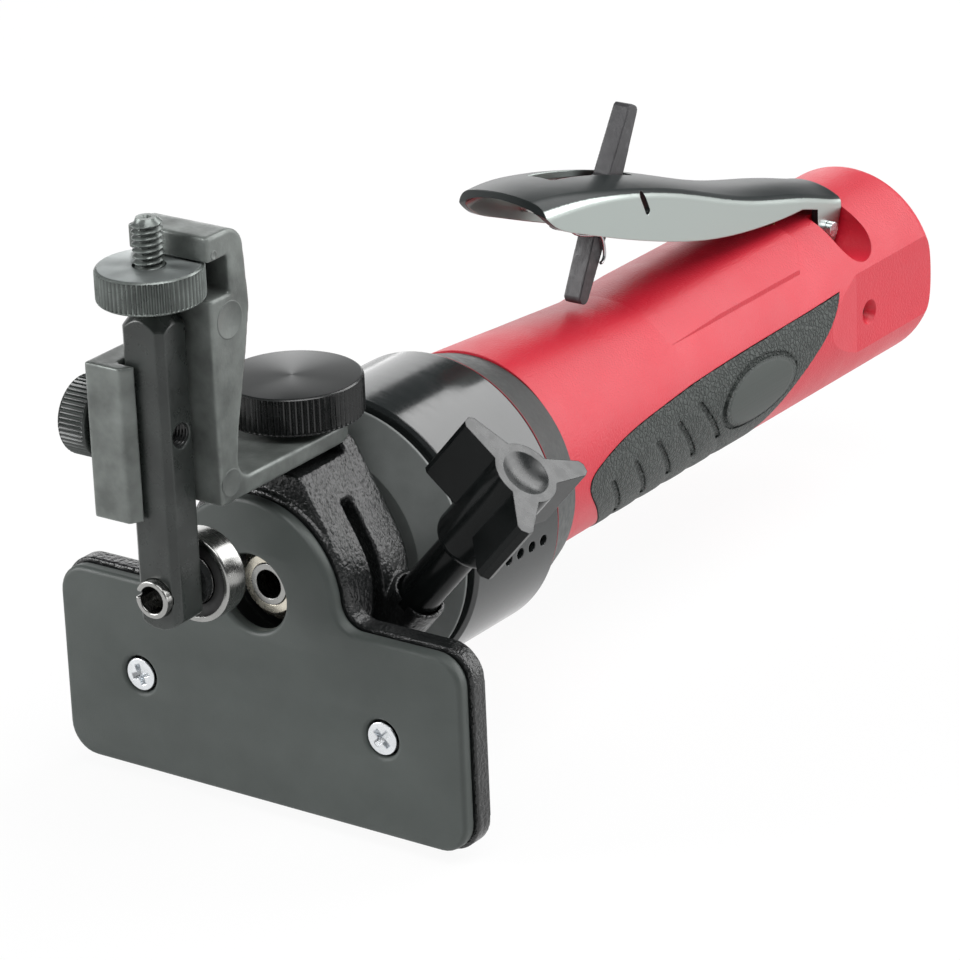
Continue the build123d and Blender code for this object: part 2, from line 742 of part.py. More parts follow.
def grip_outline():
    """The grip's outline seen from the side, with a rounded nose, cut off below the handle."""
    low = -HANDLE_R - GRIP_T
    front, rear = on_side([(GRIP_FLOOR[0], low), (GRIP_FLOOR[1], low)])
    nose, brow, tip = on_side([GRIP_NOSE, GRIP_BROW, GRIP_TIP])
    top_edge = Spline(brow, *on_side(GRIP_TOP), tip)
    rear_edge = Spline(tip, *on_side(GRIP_SWEEP), rear)
    return make_face([top_edge, rear_edge, Line(rear, front), Spline(front, *on_side(GRIP_CHIN), nose, brow)])


def grip_skin(grow):
    """The grip's region from its seat in the handle out to a margin beyond the handle."""
    ends = (GRIP_NOSE[0] - GRIP_T, GRIP_TIP[0] + GRIP_T)
    sleeve = handle_form(grow, *ends) - handle_form(-GRIP_T, *ends)
    return sleeve & along_x(grip_outline(), -AWAY, AWAY)


def handle_panel():
    """A low raised field on top that grows out of the round and stops short of the pivot."""
    full_r = HANDLE_R + PANEL_RISE
    form = turned(((0, st(PANEL_FRONT)), (HANDLE_R, st(PANEL_FRONT)), (full_r, st(PANEL_FULL)),
                   (full_r, st(PANEL_REAR)), (0, st(PANEL_REAR))))
    right = (
        (PANEL_HALF, st(PANEL_FRONT)), (PANEL_HALF, st(PANEL_SIDE_END)), (PANEL_REAR_HALF, st(PANEL_REAR)))
    left = [(-x, y) for x, y in reversed(right)]
    return form & along_z(polygon(list(right) + left), 0, 2 * HANDLE_R)


def make_handle_shell():
    body = handle_form(0, RING_REAR, HANDLE_REAR)
    rims = body.edges().filter_by(GeomType.CIRCLE)
    body = fillet(rims.group_by(Axis.Y)[-1], HANDLE_REAR_EDGE)
    body += handle_panel()
    wedge = along_z(polygon((
        (FLAT_START_X + PAST, st(FLAT_FRONT)), (FLAT_START_X, st(FLAT_FRONT)),
        (FLAT_X, st(FLAT_FRONT + FLAT_BLEND)), (FLAT_X, st(HANDLE_REAR) + PAST),
        (FLAT_START_X + PAST, st(HANDLE_REAR) + PAST))), -HANDLE_R, HANDLE_R)
    post = lever_at(PIVOT_Y)[0] - SHEET - POST_ROOM
    scoop = Pos(st(PIVOT_Y), PIVOT_Z) * Circle(SCOOP_R)
    scoop += Pos(st(PIVOT_Y), PIVOT_Z + HANDLE_R / 2) * Rectangle(2 * SCOOP_R, HANDLE_R)
    for cut in (wedge, along_x(scoop, post, AWAY)):
        body -= cut
        body -= mirror(cut, Plane.YZ)
    body -= grip_skin(GRIP_T)
    body -= rod_y(TAIL_R, st(RING_REAR) - PAST, st(TAIL_END))
    body -= rod_y(LINER_R, st(RING_REAR), st(HANDLE_BORE_END))
    body -= rod_z(VALVE_BORE_R, VALVE_BOTTOM, AWAY, 0, st(VALVE_Y))
    body -= rod_y(INLET_R, st(INLET_BOTTOM), st(HANDLE_REAR) + PAST)
    body -= rod_y(PASSAGE_R, st(VALVE_Y), st(INLET_BOTTOM) + PAST, 0, FEED_Z)
    body -= rod_y(PASSAGE_R, st(HANDLE_BORE_END) - PAST, st(VALVE_Y), 0, DELIVERY_Z)
    body -= rod_x(PIVOT_R, -PIN_HALF, PIN_HALF, st(PIVOT_Y), PIVOT_Z)
    body -= rod_x(RETAINING_PIN_R, INLET_R / 2, AWAY, st(RETAINING_PIN_Y), RETAINING_PIN_Z)
    spot = (FLAT_X - RETAINING_RECESS, st(RETAINING_PIN_Y), RETAINING_PIN_Z)
    rim = Pos(0, 0, RETAINING_RECESS / 2) * Cone(RETAINING_PIN_R, RETAINING_RIM_R, RETAINING_RECESS)
    return keep_one(body - Plane(origin=spot, z_dir=(1, 0, 0)) * rim)


def make_grip_insert():
    body = grip_skin(GRIP_PROUD)
    badge = Pos(st(BADGE_Y), BADGE_Z) * Ellipse(BADGE_LENGTH / 2, BADGE_WIDTH / 2)
    moat = Pos(st(BADGE_Y), BADGE_Z) * Ellipse(BADGE_LENGTH / 2 + BADGE_MOAT_W, BADGE_WIDTH / 2 + BADGE_MOAT_W)
    ends = (BADGE_Y - BADGE_LENGTH, BADGE_Y + BADGE_LENGTH)
    ring = handle_form(GRIP_T, *ends) - handle_form(GRIP_PROUD - BADGE_MOAT_D, *ends)
    body -= ring & along_x(moat, -AWAY, AWAY)
    shell = handle_form(GRIP_PROUD + BADGE_RISE, *ends) - handle_form(-GRIP_T / 2, *ends)
    body += shell & along_x(badge, -AWAY, AWAY)
    last = FOLD_FIRST + FOLD_PITCH * FOLD_COUNT + FOLD_LEAN
    ends = (FOLD_FIRST - FOLD_PITCH, last)
    ring = handle_form(GRIP_T, *ends) - handle_form(GRIP_PROUD - FOLD_D, *ends)
    for number in range(FOLD_COUNT):
        high = FOLD_TOP_Z + FOLD_CLIMB * number
        low = high - FOLD_LENGTH
        y_high = st(FOLD_FIRST + FOLD_PITCH * number)
        y_low = y_high + FOLD_LEAN
        cut = polygon(((y_low, low), (y_low + FOLD_W, low), (y_high + FOLD_W, high), (y_high, high)))
        body -= ring & along_x(cut, -AWAY, AWAY)
    return keep_one(body)


# Vane motor

def end_plate(start, thickness, hole):
    return ring_y(LINER_R, hole, st(start), st(start + thickness))


def make_front_end_plate():
    return end_plate(SPIGOT_END, END_PLATE_T, SPINDLE_R + LOOSE_FIT)


def make_rear_end_plate():
    plate = end_plate(LINER_REAR, REAR_PLATE_T, SPINDLE_REAR_R + RACE_WALL)
    return plate - rod_y(REAR_BEARING_R, st(REAR_BEARING_FRONT), st(HANDLE_BORE_END) + PAST)


def make_motor_liner():
    body = rod_y(LINER_R, st(LINER_FRONT), st(LINER_REAR))
    body -= rod_y(LINER_BORE_R, st(LINER_FRONT) - PAST, st(LINER_REAR) + PAST, 0, LINER_OFFSET)
    spacing = (CHAMBER_REAR - LINER_FRONT) / PORT_COUNT
    for number in range(PORT_COUNT):
        y = st(LINER_FRONT + spacing * (number + 0.5))
        body -= rod_x(PORT_R, 0, LINER_R + PAST, y, 0)
    return body


def make_rotor():
    y0, y1 = st(LINER_FRONT) + ROTOR_END_GAP, st(LINER_REAR) - ROTOR_END_GAP
    body = ring_y(ROTOR_R, SPINDLE_R, y0, y1)
    slot = Pos(ROTOR_R - VANE_DEPTH / 2 + PAST, 0) * Rectangle(VANE_DEPTH + 2 * PAST, VANE_T)
    for number in range(VANE_COUNT):
        body -= along_y(Rot(0, 0, 360 / VANE_COUNT * number) * slot, y0 - PAST, y1 + PAST)
    return body


def make_rotor_vanes():
    y0, y1 = st(LINER_FRONT) + ROTOR_END_GAP, st(LINER_REAR) - ROTOR_END_GAP
    tip = LINER_BORE_R - LINER_OFFSET - VANE_TIP_GAP
    foot = ROTOR_R - VANE_DEPTH
    vane = Pos((tip + foot) / 2, 0) * Rectangle(tip - foot, VANE_T)
    envelope = rod_y(tip, y0, y1)
    spin = 360 / VANE_COUNT
    places = [Rot(0, 0, spin * number) for number in range(VANE_COUNT)]
    return Compound([along_y(place * vane, y0, y1) & envelope for place in places])


def bearing_pair(front_outer, front_inner, rear_outer, rear_inner):
    front = st(BEARING_SHOULDER)
    rear = st(REAR_BEARING_FRONT)
    return Compound([ring_y(front_outer, front_inner, front, front + FRONT_BEARING_W),
                     ring_y(rear_outer, rear_inner, rear, rear + REAR_BEARING_W)])


def make_motor_bearings():
    room = RACE_WALL + LOOSE_FIT
    return bearing_pair(FRONT_BEARING_R, SPINDLE_R + room, REAR_BEARING_R, SPINDLE_REAR_R + room)


def make_bearing_inner_races():
    return bearing_pair(SPINDLE_R + RACE_WALL, SPINDLE_R, SPINDLE_REAR_R + RACE_WALL, SPINDLE_REAR_R)


def make_spindle():
    rear_end = REAR_BEARING_FRONT + REAR_BEARING_W
    stop = SPINDLE_R + RACE_WALL - RACE_STOP
    stop_front = st(BEARING_SHOULDER) - RACE_STOP_L
    shank = COLLET_BORE_R + SHANK_ROOM
    return turned((
        (TAPER_FRONT_R, st(SOCKET_FRONT)), (SOCKET_R, st(SOCKET_FRONT)), (SOCKET_R, stop_front),
        (stop, stop_front), (stop, st(BEARING_SHOULDER)), (SPINDLE_R, st(BEARING_SHOULDER)),
        (SPINDLE_R, st(LINER_REAR)), (SPINDLE_REAR_R, st(LINER_REAR)), (SPINDLE_REAR_R, st(rear_end)),
        (0, st(rear_end)), (0, st(SHANK_HOLE_END)), (shank, st(SHANK_HOLE_END)), (shank, st(TAPER_END)),
        (TAPER_REAR_R, st(TAPER_END))))


def taper_radius(station):
    share = (station - SOCKET_FRONT) / (TAPER_END - SOCKET_FRONT)
    return TAPER_FRONT_R + (TAPER_REAR_R - TAPER_FRONT_R) * share


def make_collet():
    rear = TAPER_END - COLLET_END_GAP
    neck = COLLET_SETBACK + COLLET_NOSE_L
    shoulder = neck + COLLET_CONE_L
    front_r = TAPER_FRONT_R - COLLET_SLACK
    body = turned((
        (COLLET_BORE_R, st(COLLET_SETBACK)), (COLLET_NOSE_R, st(COLLET_SETBACK)), (COLLET_NOSE_R, st(neck)),
        (front_r, st(shoulder)), (front_r, st(SOCKET_FRONT)), (taper_radius(rear) - COLLET_SLACK, st(rear)),
        (COLLET_BORE_R, st(rear))))
    slit = Pos(TAPER_FRONT_R / 2, 0) * Rectangle(TAPER_FRONT_R + 2 * PAST, COLLET_SLIT)
    for number in range(COLLET_SLITS):
        turn = Rot(0, 0, COLLET_SLIT_DEG + 360 / COLLET_SLITS * number)
        body -= along_y(turn * slit, st(shoulder), st(rear) + PAST)
    return body


def make_collet_nut():
    neck = COLLET_SETBACK + COLLET_NOSE_L
    shoulder = neck + COLLET_CONE_L
    nose = COLLET_NOSE_R + NUT_NOSE_GAP
    corner = NUT_HEX_AF / math.sqrt(3)
    body = turned((
        (nose, st(NUT_FRONT)), (NUT_FRONT_R, st(NUT_FRONT)),
        (NUT_FRONT_R + NUT_EDGE, st(NUT_FRONT) + NUT_EDGE), (corner, st(NUT_CONE_END)),
        (corner, st(NUT_REAR) - NUT_REAR_EDGE),
        (corner - NUT_REAR_EDGE, st(NUT_REAR)), (SOCKET_R, st(NUT_REAR)), (SOCKET_R, st(SOCKET_FRONT)),
        (TAPER_FRONT_R, st(shoulder)), (nose, st(neck))))
    hexagon = RegularPolygon(NUT_HEX_AF / 2, 6, major_radius=False)
    return body & along_y(hexagon, st(NUT_FRONT) - PAST, st(NUT_REAR) + PAST)


# Air inlet and throttle valve

def retaining_pin_rod(x1):
    start = INLET_THREAD_R + RETAINING_WALL
    return rod_x(RETAINING_PIN_R, start, x1, st(RETAINING_PIN_Y), RETAINING_PIN_Z)


def make_inlet_bushing():
    rear = st(HANDLE_REAR + INLET_HEX_T)
    body = rod_y(INLET_R, st(INLET_BOTTOM + SCREEN_T), st(HANDLE_REAR))
    body += along_y(RegularPolygon(INLET_HEX_AF / 2, 6, major_radius=False), st(HANDLE_REAR), rear)
    body = chamfer(body.faces().sort_by(Axis.Y)[-1].edges(), INLET_HEX_EDGE)
    body -= rod_y(INLET_THREAD_R, st(INLET_BOTTOM), rear + PAST)
    return body - retaining_pin_rod(AWAY)


def make_inlet_screen():
    front, back = st(INLET_BOTTOM), st(INLET_BOTTOM + SCREEN_T)
    body = ring_y(INLET_R, SCREEN_HOLE_R, front, back)
    for number in range(SCREEN_HOLES):
        x, z = polar(SCREEN_RING_R, 360 / SCREEN_HOLES * number)
        body -= rod_y(SCREEN_HOLE_R, front - PAST, back + PAST, x, z)
    return body


def make_retaining_pin():
    return retaining_pin_rod(FLAT_X - RETAINING_RECESS)


def make_valve_bushing():
    y = st(VALVE_Y)
    body = rod_z(VALVE_BORE_R, VALVE_SEAT_Z, VALVE_TOP_Z, 0, y)
    body -= rod_z(STEM_PIN_R + RUN_FIT, VALVE_SEAT_Z - PAST, VALVE_TOP_Z + PAST, 0, y)
    body -= rod_z(VALVE_CHAMBER_R, VALVE_SEAT_Z - PAST, VALVE_GUIDE_Z, 0, y)
    return body - rod_y(PASSAGE_R, y - 2 * VALVE_BORE_R, y, 0, DELIVERY_Z)


def lever_at(station):
    """The lever's half width and crown height over a station, between its sections."""
    rows = LEVER_STATIONS
    for (y0, w0, z0, c0, _), (y1, w1, z1, c1, _) in zip(rows, rows[1:]):
        if y0 <= station <= y1:
            share = (station - y0) / (y1 - y0)
            return w0 + (w1 - w0) * share, z0 + c0 + (z1 + c1 - z0 - c0) * share
    raise ValueError("station lies outside the lever")


def make_valve_stem():
    y = st(VALVE_Y)
    top = lever_at(VALVE_Y)[1] - SHEET - STEM_LEVER_GAP
    seat = VALVE_SEAT_Z - RUN_FIT
    body = rod_z(STEM_PIN_R, seat - POPPET_H, top - STEM_PIN_R, 0, y)
    body += Pos(0, y, top - STEM_PIN_R) * Sphere(STEM_PIN_R)
    return body + rod_z(POPPET_R, seat - POPPET_H, seat, 0, y)


def make_valve_spring():
    room = VALVE_SEAT_Z - RUN_FIT - POPPET_H - VALVE_BOTTOM - VALVE_WIRE - 2 * SPRING_SEAT_GAP
    wound = wire(helix_nodes(VALVE_COIL_R, VALVE_TURNS, room / VALVE_TURNS), VALVE_WIRE)
    return Pos(0, st(VALVE_Y), VALVE_BOTTOM + VALVE_WIRE / 2 + SPRING_SEAT_GAP) * wound


# Throttle lever, its safety lock and their pins

def lever_section(row, inset, drop):
    y, half, shoulder, crown, bend = row
    half -= inset
    low = shoulder - drop
    shoulder -= inset
    plane = Plane(origin=(0, st(y), 0), x_dir=(1, 0, 0), z_dir=(0, -1, 0))
    arch = ThreePointArc((-half, shoulder), (0, shoulder + crown), (half, shoulder))
    sides = Polyline((half, shoulder), (half, low), (-half, low), (-half, shoulder))
    face = make_face([arch, sides])
    return plane * fillet([v for v in face.vertices() if v.Y > low + PAST], bend - inset)


def lever_side_view():
    """What is left of the lever seen from the side, with its ear about the pivot."""
    front, rear, y = st(LEVER_FRONT), st(LEVER_REAR), st(PIVOT_Y)
    brow = (front, LEVER_BROW_Z)
    belly = on_side(LEVER_BELLY)
    ear_front, ear_rear = (y - EAR_R, PIVOT_Z), (y + EAR_R, PIVOT_Z)
    neck = Polyline(belly[-1], (y - EAR_R, PIVOT_Z + EAR_NECK), ear_front)
    ear = ThreePointArc(ear_front, (y, PIVOT_Z - EAR_R), ear_rear)
    roof = LEVER_BROW_Z + AWAY
    back = Polyline(ear_rear, (rear, PIVOT_Z + EAR_HEEL), (rear, roof), (front, roof), brow)
    return make_face([Spline(brow, *belly), neck, ear, back])


def make_throttle_lever():
    outer = loft([lever_section(row, 0, LEVER_WALL_DROP) for row in LEVER_STATIONS])
    inner = loft([lever_section(row, SHEET, LEVER_WALL_DROP + PAST) for row in LEVER_STATIONS])
    body = (outer - inner) & along_x(lever_side_view(), -AWAY, AWAY)
    bow = st(LEVER_FRONT) + TIP_RADIUS
    tip = Pos(0, bow) * Circle(TIP_RADIUS)
    tip += Pos(0, bow + st(LEVER_REAR) / 2) * Rectangle(2 * TIP_RADIUS, st(LEVER_REAR))
    body &= along_z(tip, 0, LEVER_BROW_Z + AWAY)
    middle = st(LOCK_Y) + (SLOT_BEHIND - SLOT_AHEAD) / 2
    slot = Pos(0, middle) * RectangleRounded(2 * SLOT_HALF, SLOT_AHEAD + SLOT_BEHIND, SLOT_CORNER_R)
    body -= along_z(slot, LOCK_Z, LEVER_BROW_Z + AWAY)
    side_slot = Rot(0, 0, SIDE_SLOT_DEG) * SlotOverall(SIDE_SLOT_L, SIDE_SLOT_W)
    body -= along_x(Pos(st(SIDE_SLOT_Y), SIDE_SLOT_Z) * side_slot, -AWAY, AWAY)
    body -= rod_x(PIVOT_R + RUN_FIT, -AWAY, AWAY, st(PIVOT_Y), PIVOT_Z)
    return keep_one(body - make_lock_pin())


def make_lock_pin():
    half = lever_at(LOCK_Y)[0] - LOCK_PIN_END
    return rod_x(LOCK_PIN_R, -half, half, st(LOCK_Y), LOCK_Z)


def make_lever_pin():
    return rod_x(PIVOT_R, -PIN_HALF, PIN_HALF, st(PIVOT_Y), PIVOT_Z)


def make_lock_lever():
    hub = Vector(st(LOCK_Y), LOCK_Z)
    foot = hub + Vector(*LOCK_FOOT)
    top = hub + Vector(*LOCK_TOP)
    along = (top - foot).normalized()
    across = Vector(-along.Y, along.X)
    middle = foot + (top - foot) * LOCK_MID
    spots = ((foot, LOCK_FOOT_HALF), (middle, LOCK_MID_HALF), (top, LOCK_TOP_HALF))
    left = [spot + across * half for spot, half in spots]
    right = [spot - across * half for spot, half in reversed(spots)]
    bar = polygon([(p.X, p.Y) for p in left + right])
    corners = bar.vertices().sort_by(Axis.Y)
    bar = fillet(corners[2:], LOCK_EDGE_R)
    bar = fillet(bar.vertices().sort_by(Axis.Y)[:2], LOCK_TOE_R)
    to_bar = (middle - hub).normalized()
    side = Vector(-to_bar.Y, to_bar.X) * LOCK_WEB_HALF
    web = polygon([(p.X, p.Y) for p in (hub + side, middle + side, middle - side, hub - side)])
    shape = bar + web + Pos(hub.X, hub.Y) * Circle(LOCK_HUB_R)
    shape -= Pos(hub.X, hub.Y) * Circle(LOCK_PIN_R + RUN_FIT)
    return along_x(shape, -LOCK_HALF, LOCK_HALF)


def make_lock_spring():
    """Wound beside the lock's hub, one end up inside the lever, the other hooked round behind the leg."""
    pitch = LOCK_WIRE + COIL_GAP
    nodes = []
    for spot, heading in helix_nodes(LOCK_COIL_R, LOCK_TURNS, pitch, LOCK_COIL_DEG):
        place = Vector(LOCK_COIL_START + LOCK_TURNS * pitch - spot.Z, st(LOCK_Y) + spot.X, LOCK_Z + spot.Y)
        nodes.append((place, Vector(-heading.Z, heading.X, heading.Y)))
    first, lead = nodes[0]
    nodes.insert(0, (first - lead * LOCK_SPRING_LEAD, lead))
    x = nodes[-1][0].X - pitch / 8
    for behind, above, dy, dz in LOCK_HOOK:
        nodes.append((Vector(x, st(LOCK_Y) + behind, LOCK_Z + above), Vector(0, dy, dz).normalized()))
    return wire(nodes, LOCK_WIRE)


# Roller guide

def make_guide_bar():
    section = Pos(0, BAR_MID) * Rectangle(2 * BAR_HALF_X, 2 * BAR_HALF_Y)
    shank = along_z(chamfer(section.vertices(), BAR_CHAMFER), ROLLER_Z - BAR_END_R, BAR_TOP)
    end = Pos(0, ROLLER_Z) * Circle(BAR_END_R)
    end += Pos(0, ROLLER_Z + BAR_TOP / 2) * Rectangle(2 * BAR_END_R, BAR_TOP)
    shank &= along_y(end, BAR_FRONT, BAR_BACK)
    top_r = STUD_R + BAR_LAND
    wide = top_r + 2 * BAR_HALF_X
    low = BAR_TOP - 2 * BAR_HALF_X * BAR_CONE
    crown = Plane.XZ * polygon(((0, 0), (wide, 0), (wide, low), (top_r, BAR_TOP), (0, BAR_TOP)))
    shank &= Pos(0, BAR_MID, 0) * revolve(crown, Axis.Z)
    stud = rod_z(STUD_R, BAR_TOP, STUD_TOP, 0, BAR_MID)
    body = shank + chamfer(stud.edges().sort_by(Axis.Z)[-1], STUD_CHAMFER)
    body -= rod_x(CROSS_HOLE_R, -AWAY, AWAY, BAR_MID, CROSS_HOLE_Z)
    return body - rod_y(PIN_R, BAR_FRONT - PAST, BAR_BACK + PAST, 0, ROLLER_Z)


def make_roller_pin():
    y0 = BAR_FRONT - PIN_PROUD
    y1 = ROLLER_FRONT + ROLLER_W + PIN_END
    slot = Rot(0, 0, PIN_SLOT_DEG) * Pos(PIN_R, 0) * Rectangle(2 * PIN_R, PIN_GAP)
    tube = roller_ring(PIN_R, PIN_R - PIN_WALL, y0, y1)
    return tube - along_y(Pos(0, ROLLER_Z) * slot, y0 - PAST, y1 + PAST)


def roller_ring(outer, inner, y0, y1):
    return Pos(0, 0, ROLLER_Z) * ring_y(outer, inner, y0, y1)


def make_roller_outer_race():
    body = roller_ring(ROLLER_R, ROLLER_R - ROLLER_RIM, ROLLER_FRONT, ROLLER_FRONT + ROLLER_W)
    rims = body.edges().filter_by(GeomType.CIRCLE).group_by(lambda edge: edge.radius)[-1]
    return chamfer(rims, ROLLER_EDGE)


def make_roller_inner_race():
    return roller_ring(INNER_RACE_R, PIN_R, ROLLER_FRONT, ROLLER_FRONT + ROLLER_W)


def make_roller_spacer():
    return roller_ring(INNER_RACE_R, PIN_R, BAR_BACK, ROLLER_FRONT)


def make_roller_seals():
    inner, outer = INNER_RACE_R + LOOSE_FIT, ROLLER_R - ROLLER_RIM
    starts = (ROLLER_FRONT + SEAL_SUNK, ROLLER_FRONT + ROLLER_W - SEAL_SUNK - SEAL_T)
    return Compound([roller_ring(outer, inner, y, y + SEAL_T) for y in starts])


def make_guide_bracket():
    face = BAR_BACK + BRACKET_FACE_GAP
    notch = BAR_MID + WHEEL_R + WHEEL_GAP
    notch_low, notch_high = WHEEL_BOTTOM - WHEEL_GAP, WHEEL_BOTTOM + WHEEL_H + WHEEL_GAP
    knob_y = st(BIG_KNOB_Y)
    heel = (face + SPINE_HEEL, FOOT_TOP)
    crest = (face + SPINE_CREST, BRACKET_TOP)
    toe = heel[0] + 2 * FOOT_FILLET
    front = [(face, FOOT_BOTTOM), (face, notch_low), (notch, notch_low)]
    front += [(notch, notch_high), (face, notch_high)]
    back = [(face + depth, height) for depth, height in SPINE_BACK]
    side = polygon(front + [(face, BRACKET_TOP), crest] + back + [heel, (toe, FOOT_TOP), (toe, FOOT_BOTTOM)])
    for corner, radius in ((heel, FOOT_FILLET), (crest, BRACKET_TOP_R)):
        nearest = min(side.vertices(), key=lambda v: math.dist((v.X, v.Y), corner))
        side = fillet(nearest, radius)
    body = along_x(side, -SPINE_LEFT, BRACKET_HALF)
    body += block(-BRACKET_HALF, BRACKET_HALF, face, knob_y, FOOT_BOTTOM, FOOT_TOP)
    body += rod_z(BRACKET_HALF, FOOT_BOTTOM, FOOT_TOP, 0, knob_y)
    lip_back = BAR_FRONT - LIP_GAP
    lip_front = lip_back - LIP_T
    lip_end = JAW_IN + LIP_REACH
    jaw = polygon((
        (JAW_OUT, face + PAST), (JAW_OUT, lip_front), (lip_end - LIP_CHAMFER, lip_front), (lip_end, lip_back),
        (JAW_IN, lip_back), (JAW_IN, face + PAST)))
    body += along_z(jaw, WALL_BOTTOM, WALL_TOP)
    middle = CROSS_HOLE_Z + (BAR_LIFT - BAR_DROP) / 2
    width = 2 * (LOCK_SCREW_R + SLOT_ROOM)
    slot = Rot(0, 0, 90) * SlotOverall(BAR_LIFT + BAR_DROP + width, width)
    body -= along_x(Pos(BAR_MID, middle) * slot, JAW_OUT - PAST, -BAR_HALF_X)
    width = 2 * (BIG_STUD_R + SLOT_ROOM)
    slot = Rot(0, 0, 90) * SlotOverall(2 * GUIDE_SHIFT + width, width)
    return body - along_z(Pos(0, knob_y) * slot, FOOT_BOTTOM - PAST, FOOT_TOP + PAST)


def round_edged(disc):
    return chamfer(disc.edges().filter_by(GeomType.CIRCLE), WHEEL_EDGE)


def make_adjusting_wheel():
    top = WHEEL_BOTTOM + WHEEL_H
    disc = round_edged(rod_z(WHEEL_R, WHEEL_BOTTOM, top, 0, BAR_MID))
    return disc - rod_z(STUD_R + RUN_FIT, WHEEL_BOTTOM - PAST, top + PAST, 0, BAR_MID)


def make_bracket_knob():
    y = st(BIG_KNOB_Y)
    body = round_edged(rod_z(BIG_KNOB_R, BIG_KNOB_BOTTOM, BIG_KNOB_BOTTOM + BIG_KNOB_H, 0, y))
    body += rod_z(BIG_KNOB_HUB_R, FOOT_TOP + KNOB_SEAT_GAP, BIG_KNOB_BOTTOM, 0, y)
    return body - make_bracket_knob_stud()


def make_bracket_knob_stud():
    return rod_z(BIG_STUD_R, BIG_STUD_LOW, BIG_KNOB_BOTTOM + BIG_KNOB_H / 2, 0, st(BIG_KNOB_Y))


def make_guide_lock_knob():
    disc = round_edged(rod_x(LOCK_KNOB_R, LOCK_KNOB_IN - LOCK_KNOB_W, LOCK_KNOB_IN, BAR_MID, CROSS_HOLE_Z))
    disc += rod_x(LOCK_KNOB_HUB_R, LOCK_KNOB_IN, JAW_OUT - KNOB_SEAT_GAP, BAR_MID, CROSS_HOLE_Z)
    return disc - make_guide_lock_screw()


def make_guide_lock_screw():
    start = LOCK_KNOB_IN - LOCK_KNOB_W / 2
    return rod_x(LOCK_SCREW_R, start, -BAR_HALF_X + LOCK_SCREW_IN, BAR_MID, CROSS_HOLE_Z)


PIECES = {
    "sub_base": make_sub_base,
    "sub_base_screws": make_sub_base_screws,
    "base_casting": make_base_casting,
    "clamp_nut": make_clamp_nut,
    "clamp_knob": make_clamp_knob,
    "clamp_stud": make_clamp_stud,
    "nose_cap": make_nose_cap,
    "bearing_retainer": make_bearing_retainer,
    "motor_housing": make_motor_housing,
    "muffler_felt": make_muffler_felt,
    "collar_ring": make_collar_ring,
    "handle_shell": make_handle_shell,
    "grip_insert": make_grip_insert,
    "front_end_plate": make_front_end_plate,
    "rear_end_plate": make_rear_end_plate,
    "motor_liner": make_motor_liner,
    "motor_bearings": make_motor_bearings,
    "bearing_inner_races": make_bearing_inner_races,
    "rotor": make_rotor,
    "rotor_vanes": make_rotor_vanes,
    "spindle": make_spindle,
    "collet": make_collet,
    "collet_nut": make_collet_nut,
    "inlet_bushing": make_inlet_bushing,
    "inlet_screen": make_inlet_screen,
    "retaining_pin": make_retaining_pin,
    "valve_bushing": make_valve_bushing,
    "valve_stem": make_valve_stem,
    "valve_spring": make_valve_spring,
    "lever_pin": make_lever_pin,
    "throttle_lever": make_throttle_lever,
    "lock_pin": make_lock_pin,
    "lock_lever": make_lock_lever,
    "lock_spring": make_lock_spring,
    "guide_bar": make_guide_bar,
    "roller_pin": make_roller_pin,
    "roller_outer_race": make_roller_outer_race,
    "roller_inner_race": make_roller_inner_race,
    "roller_seals": make_roller_seals,
    "roller_spacer": make_roller_spacer,
    "guide_bracket": make_guide_bracket,
    "adjusting_wheel": make_adjusting_wheel,
    "bracket_knob": make_bracket_knob,
    "bracket_knob_stud": make_bracket_knob_stud,
    "guide_lock_knob": make_guide_lock_knob,
    "guide_lock_screw": make_guide_lock_screw,
}

os.makedirs("parts", exist_ok=True)
for name, make in PIECES.items():
    export_step(make(), f"parts/{name}.step")
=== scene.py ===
"""Looks of an air-driven laminate trimmer with a roller guide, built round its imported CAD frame."""
import json
import math

import bmesh
import bpy
import numpy as np
from mathutils import Matrix, Vector


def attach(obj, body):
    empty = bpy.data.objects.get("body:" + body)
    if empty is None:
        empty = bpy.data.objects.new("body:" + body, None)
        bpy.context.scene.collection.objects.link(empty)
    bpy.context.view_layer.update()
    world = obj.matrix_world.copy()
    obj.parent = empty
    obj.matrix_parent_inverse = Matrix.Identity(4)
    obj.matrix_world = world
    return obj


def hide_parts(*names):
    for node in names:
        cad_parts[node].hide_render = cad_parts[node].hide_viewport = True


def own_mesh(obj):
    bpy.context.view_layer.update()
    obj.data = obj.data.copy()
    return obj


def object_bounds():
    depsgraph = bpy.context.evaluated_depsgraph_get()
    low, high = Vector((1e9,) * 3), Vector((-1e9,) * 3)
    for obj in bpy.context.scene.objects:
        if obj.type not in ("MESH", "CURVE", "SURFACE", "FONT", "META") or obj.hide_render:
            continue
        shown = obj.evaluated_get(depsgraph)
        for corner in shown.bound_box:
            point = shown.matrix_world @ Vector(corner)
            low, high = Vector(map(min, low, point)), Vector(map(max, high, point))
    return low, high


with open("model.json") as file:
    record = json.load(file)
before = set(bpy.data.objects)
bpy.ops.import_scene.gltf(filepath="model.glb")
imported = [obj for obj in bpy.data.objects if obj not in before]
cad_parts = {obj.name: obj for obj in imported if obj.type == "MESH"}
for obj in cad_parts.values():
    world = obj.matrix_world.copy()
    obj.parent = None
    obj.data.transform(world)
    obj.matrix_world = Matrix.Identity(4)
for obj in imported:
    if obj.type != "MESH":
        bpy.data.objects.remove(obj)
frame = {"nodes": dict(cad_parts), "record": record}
cad_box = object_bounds()
nodes = frame["nodes"]

# Sizes are in millimetres, and a place along Y that FACE_Y is added to is measured from the sole's face
MM = 0.001

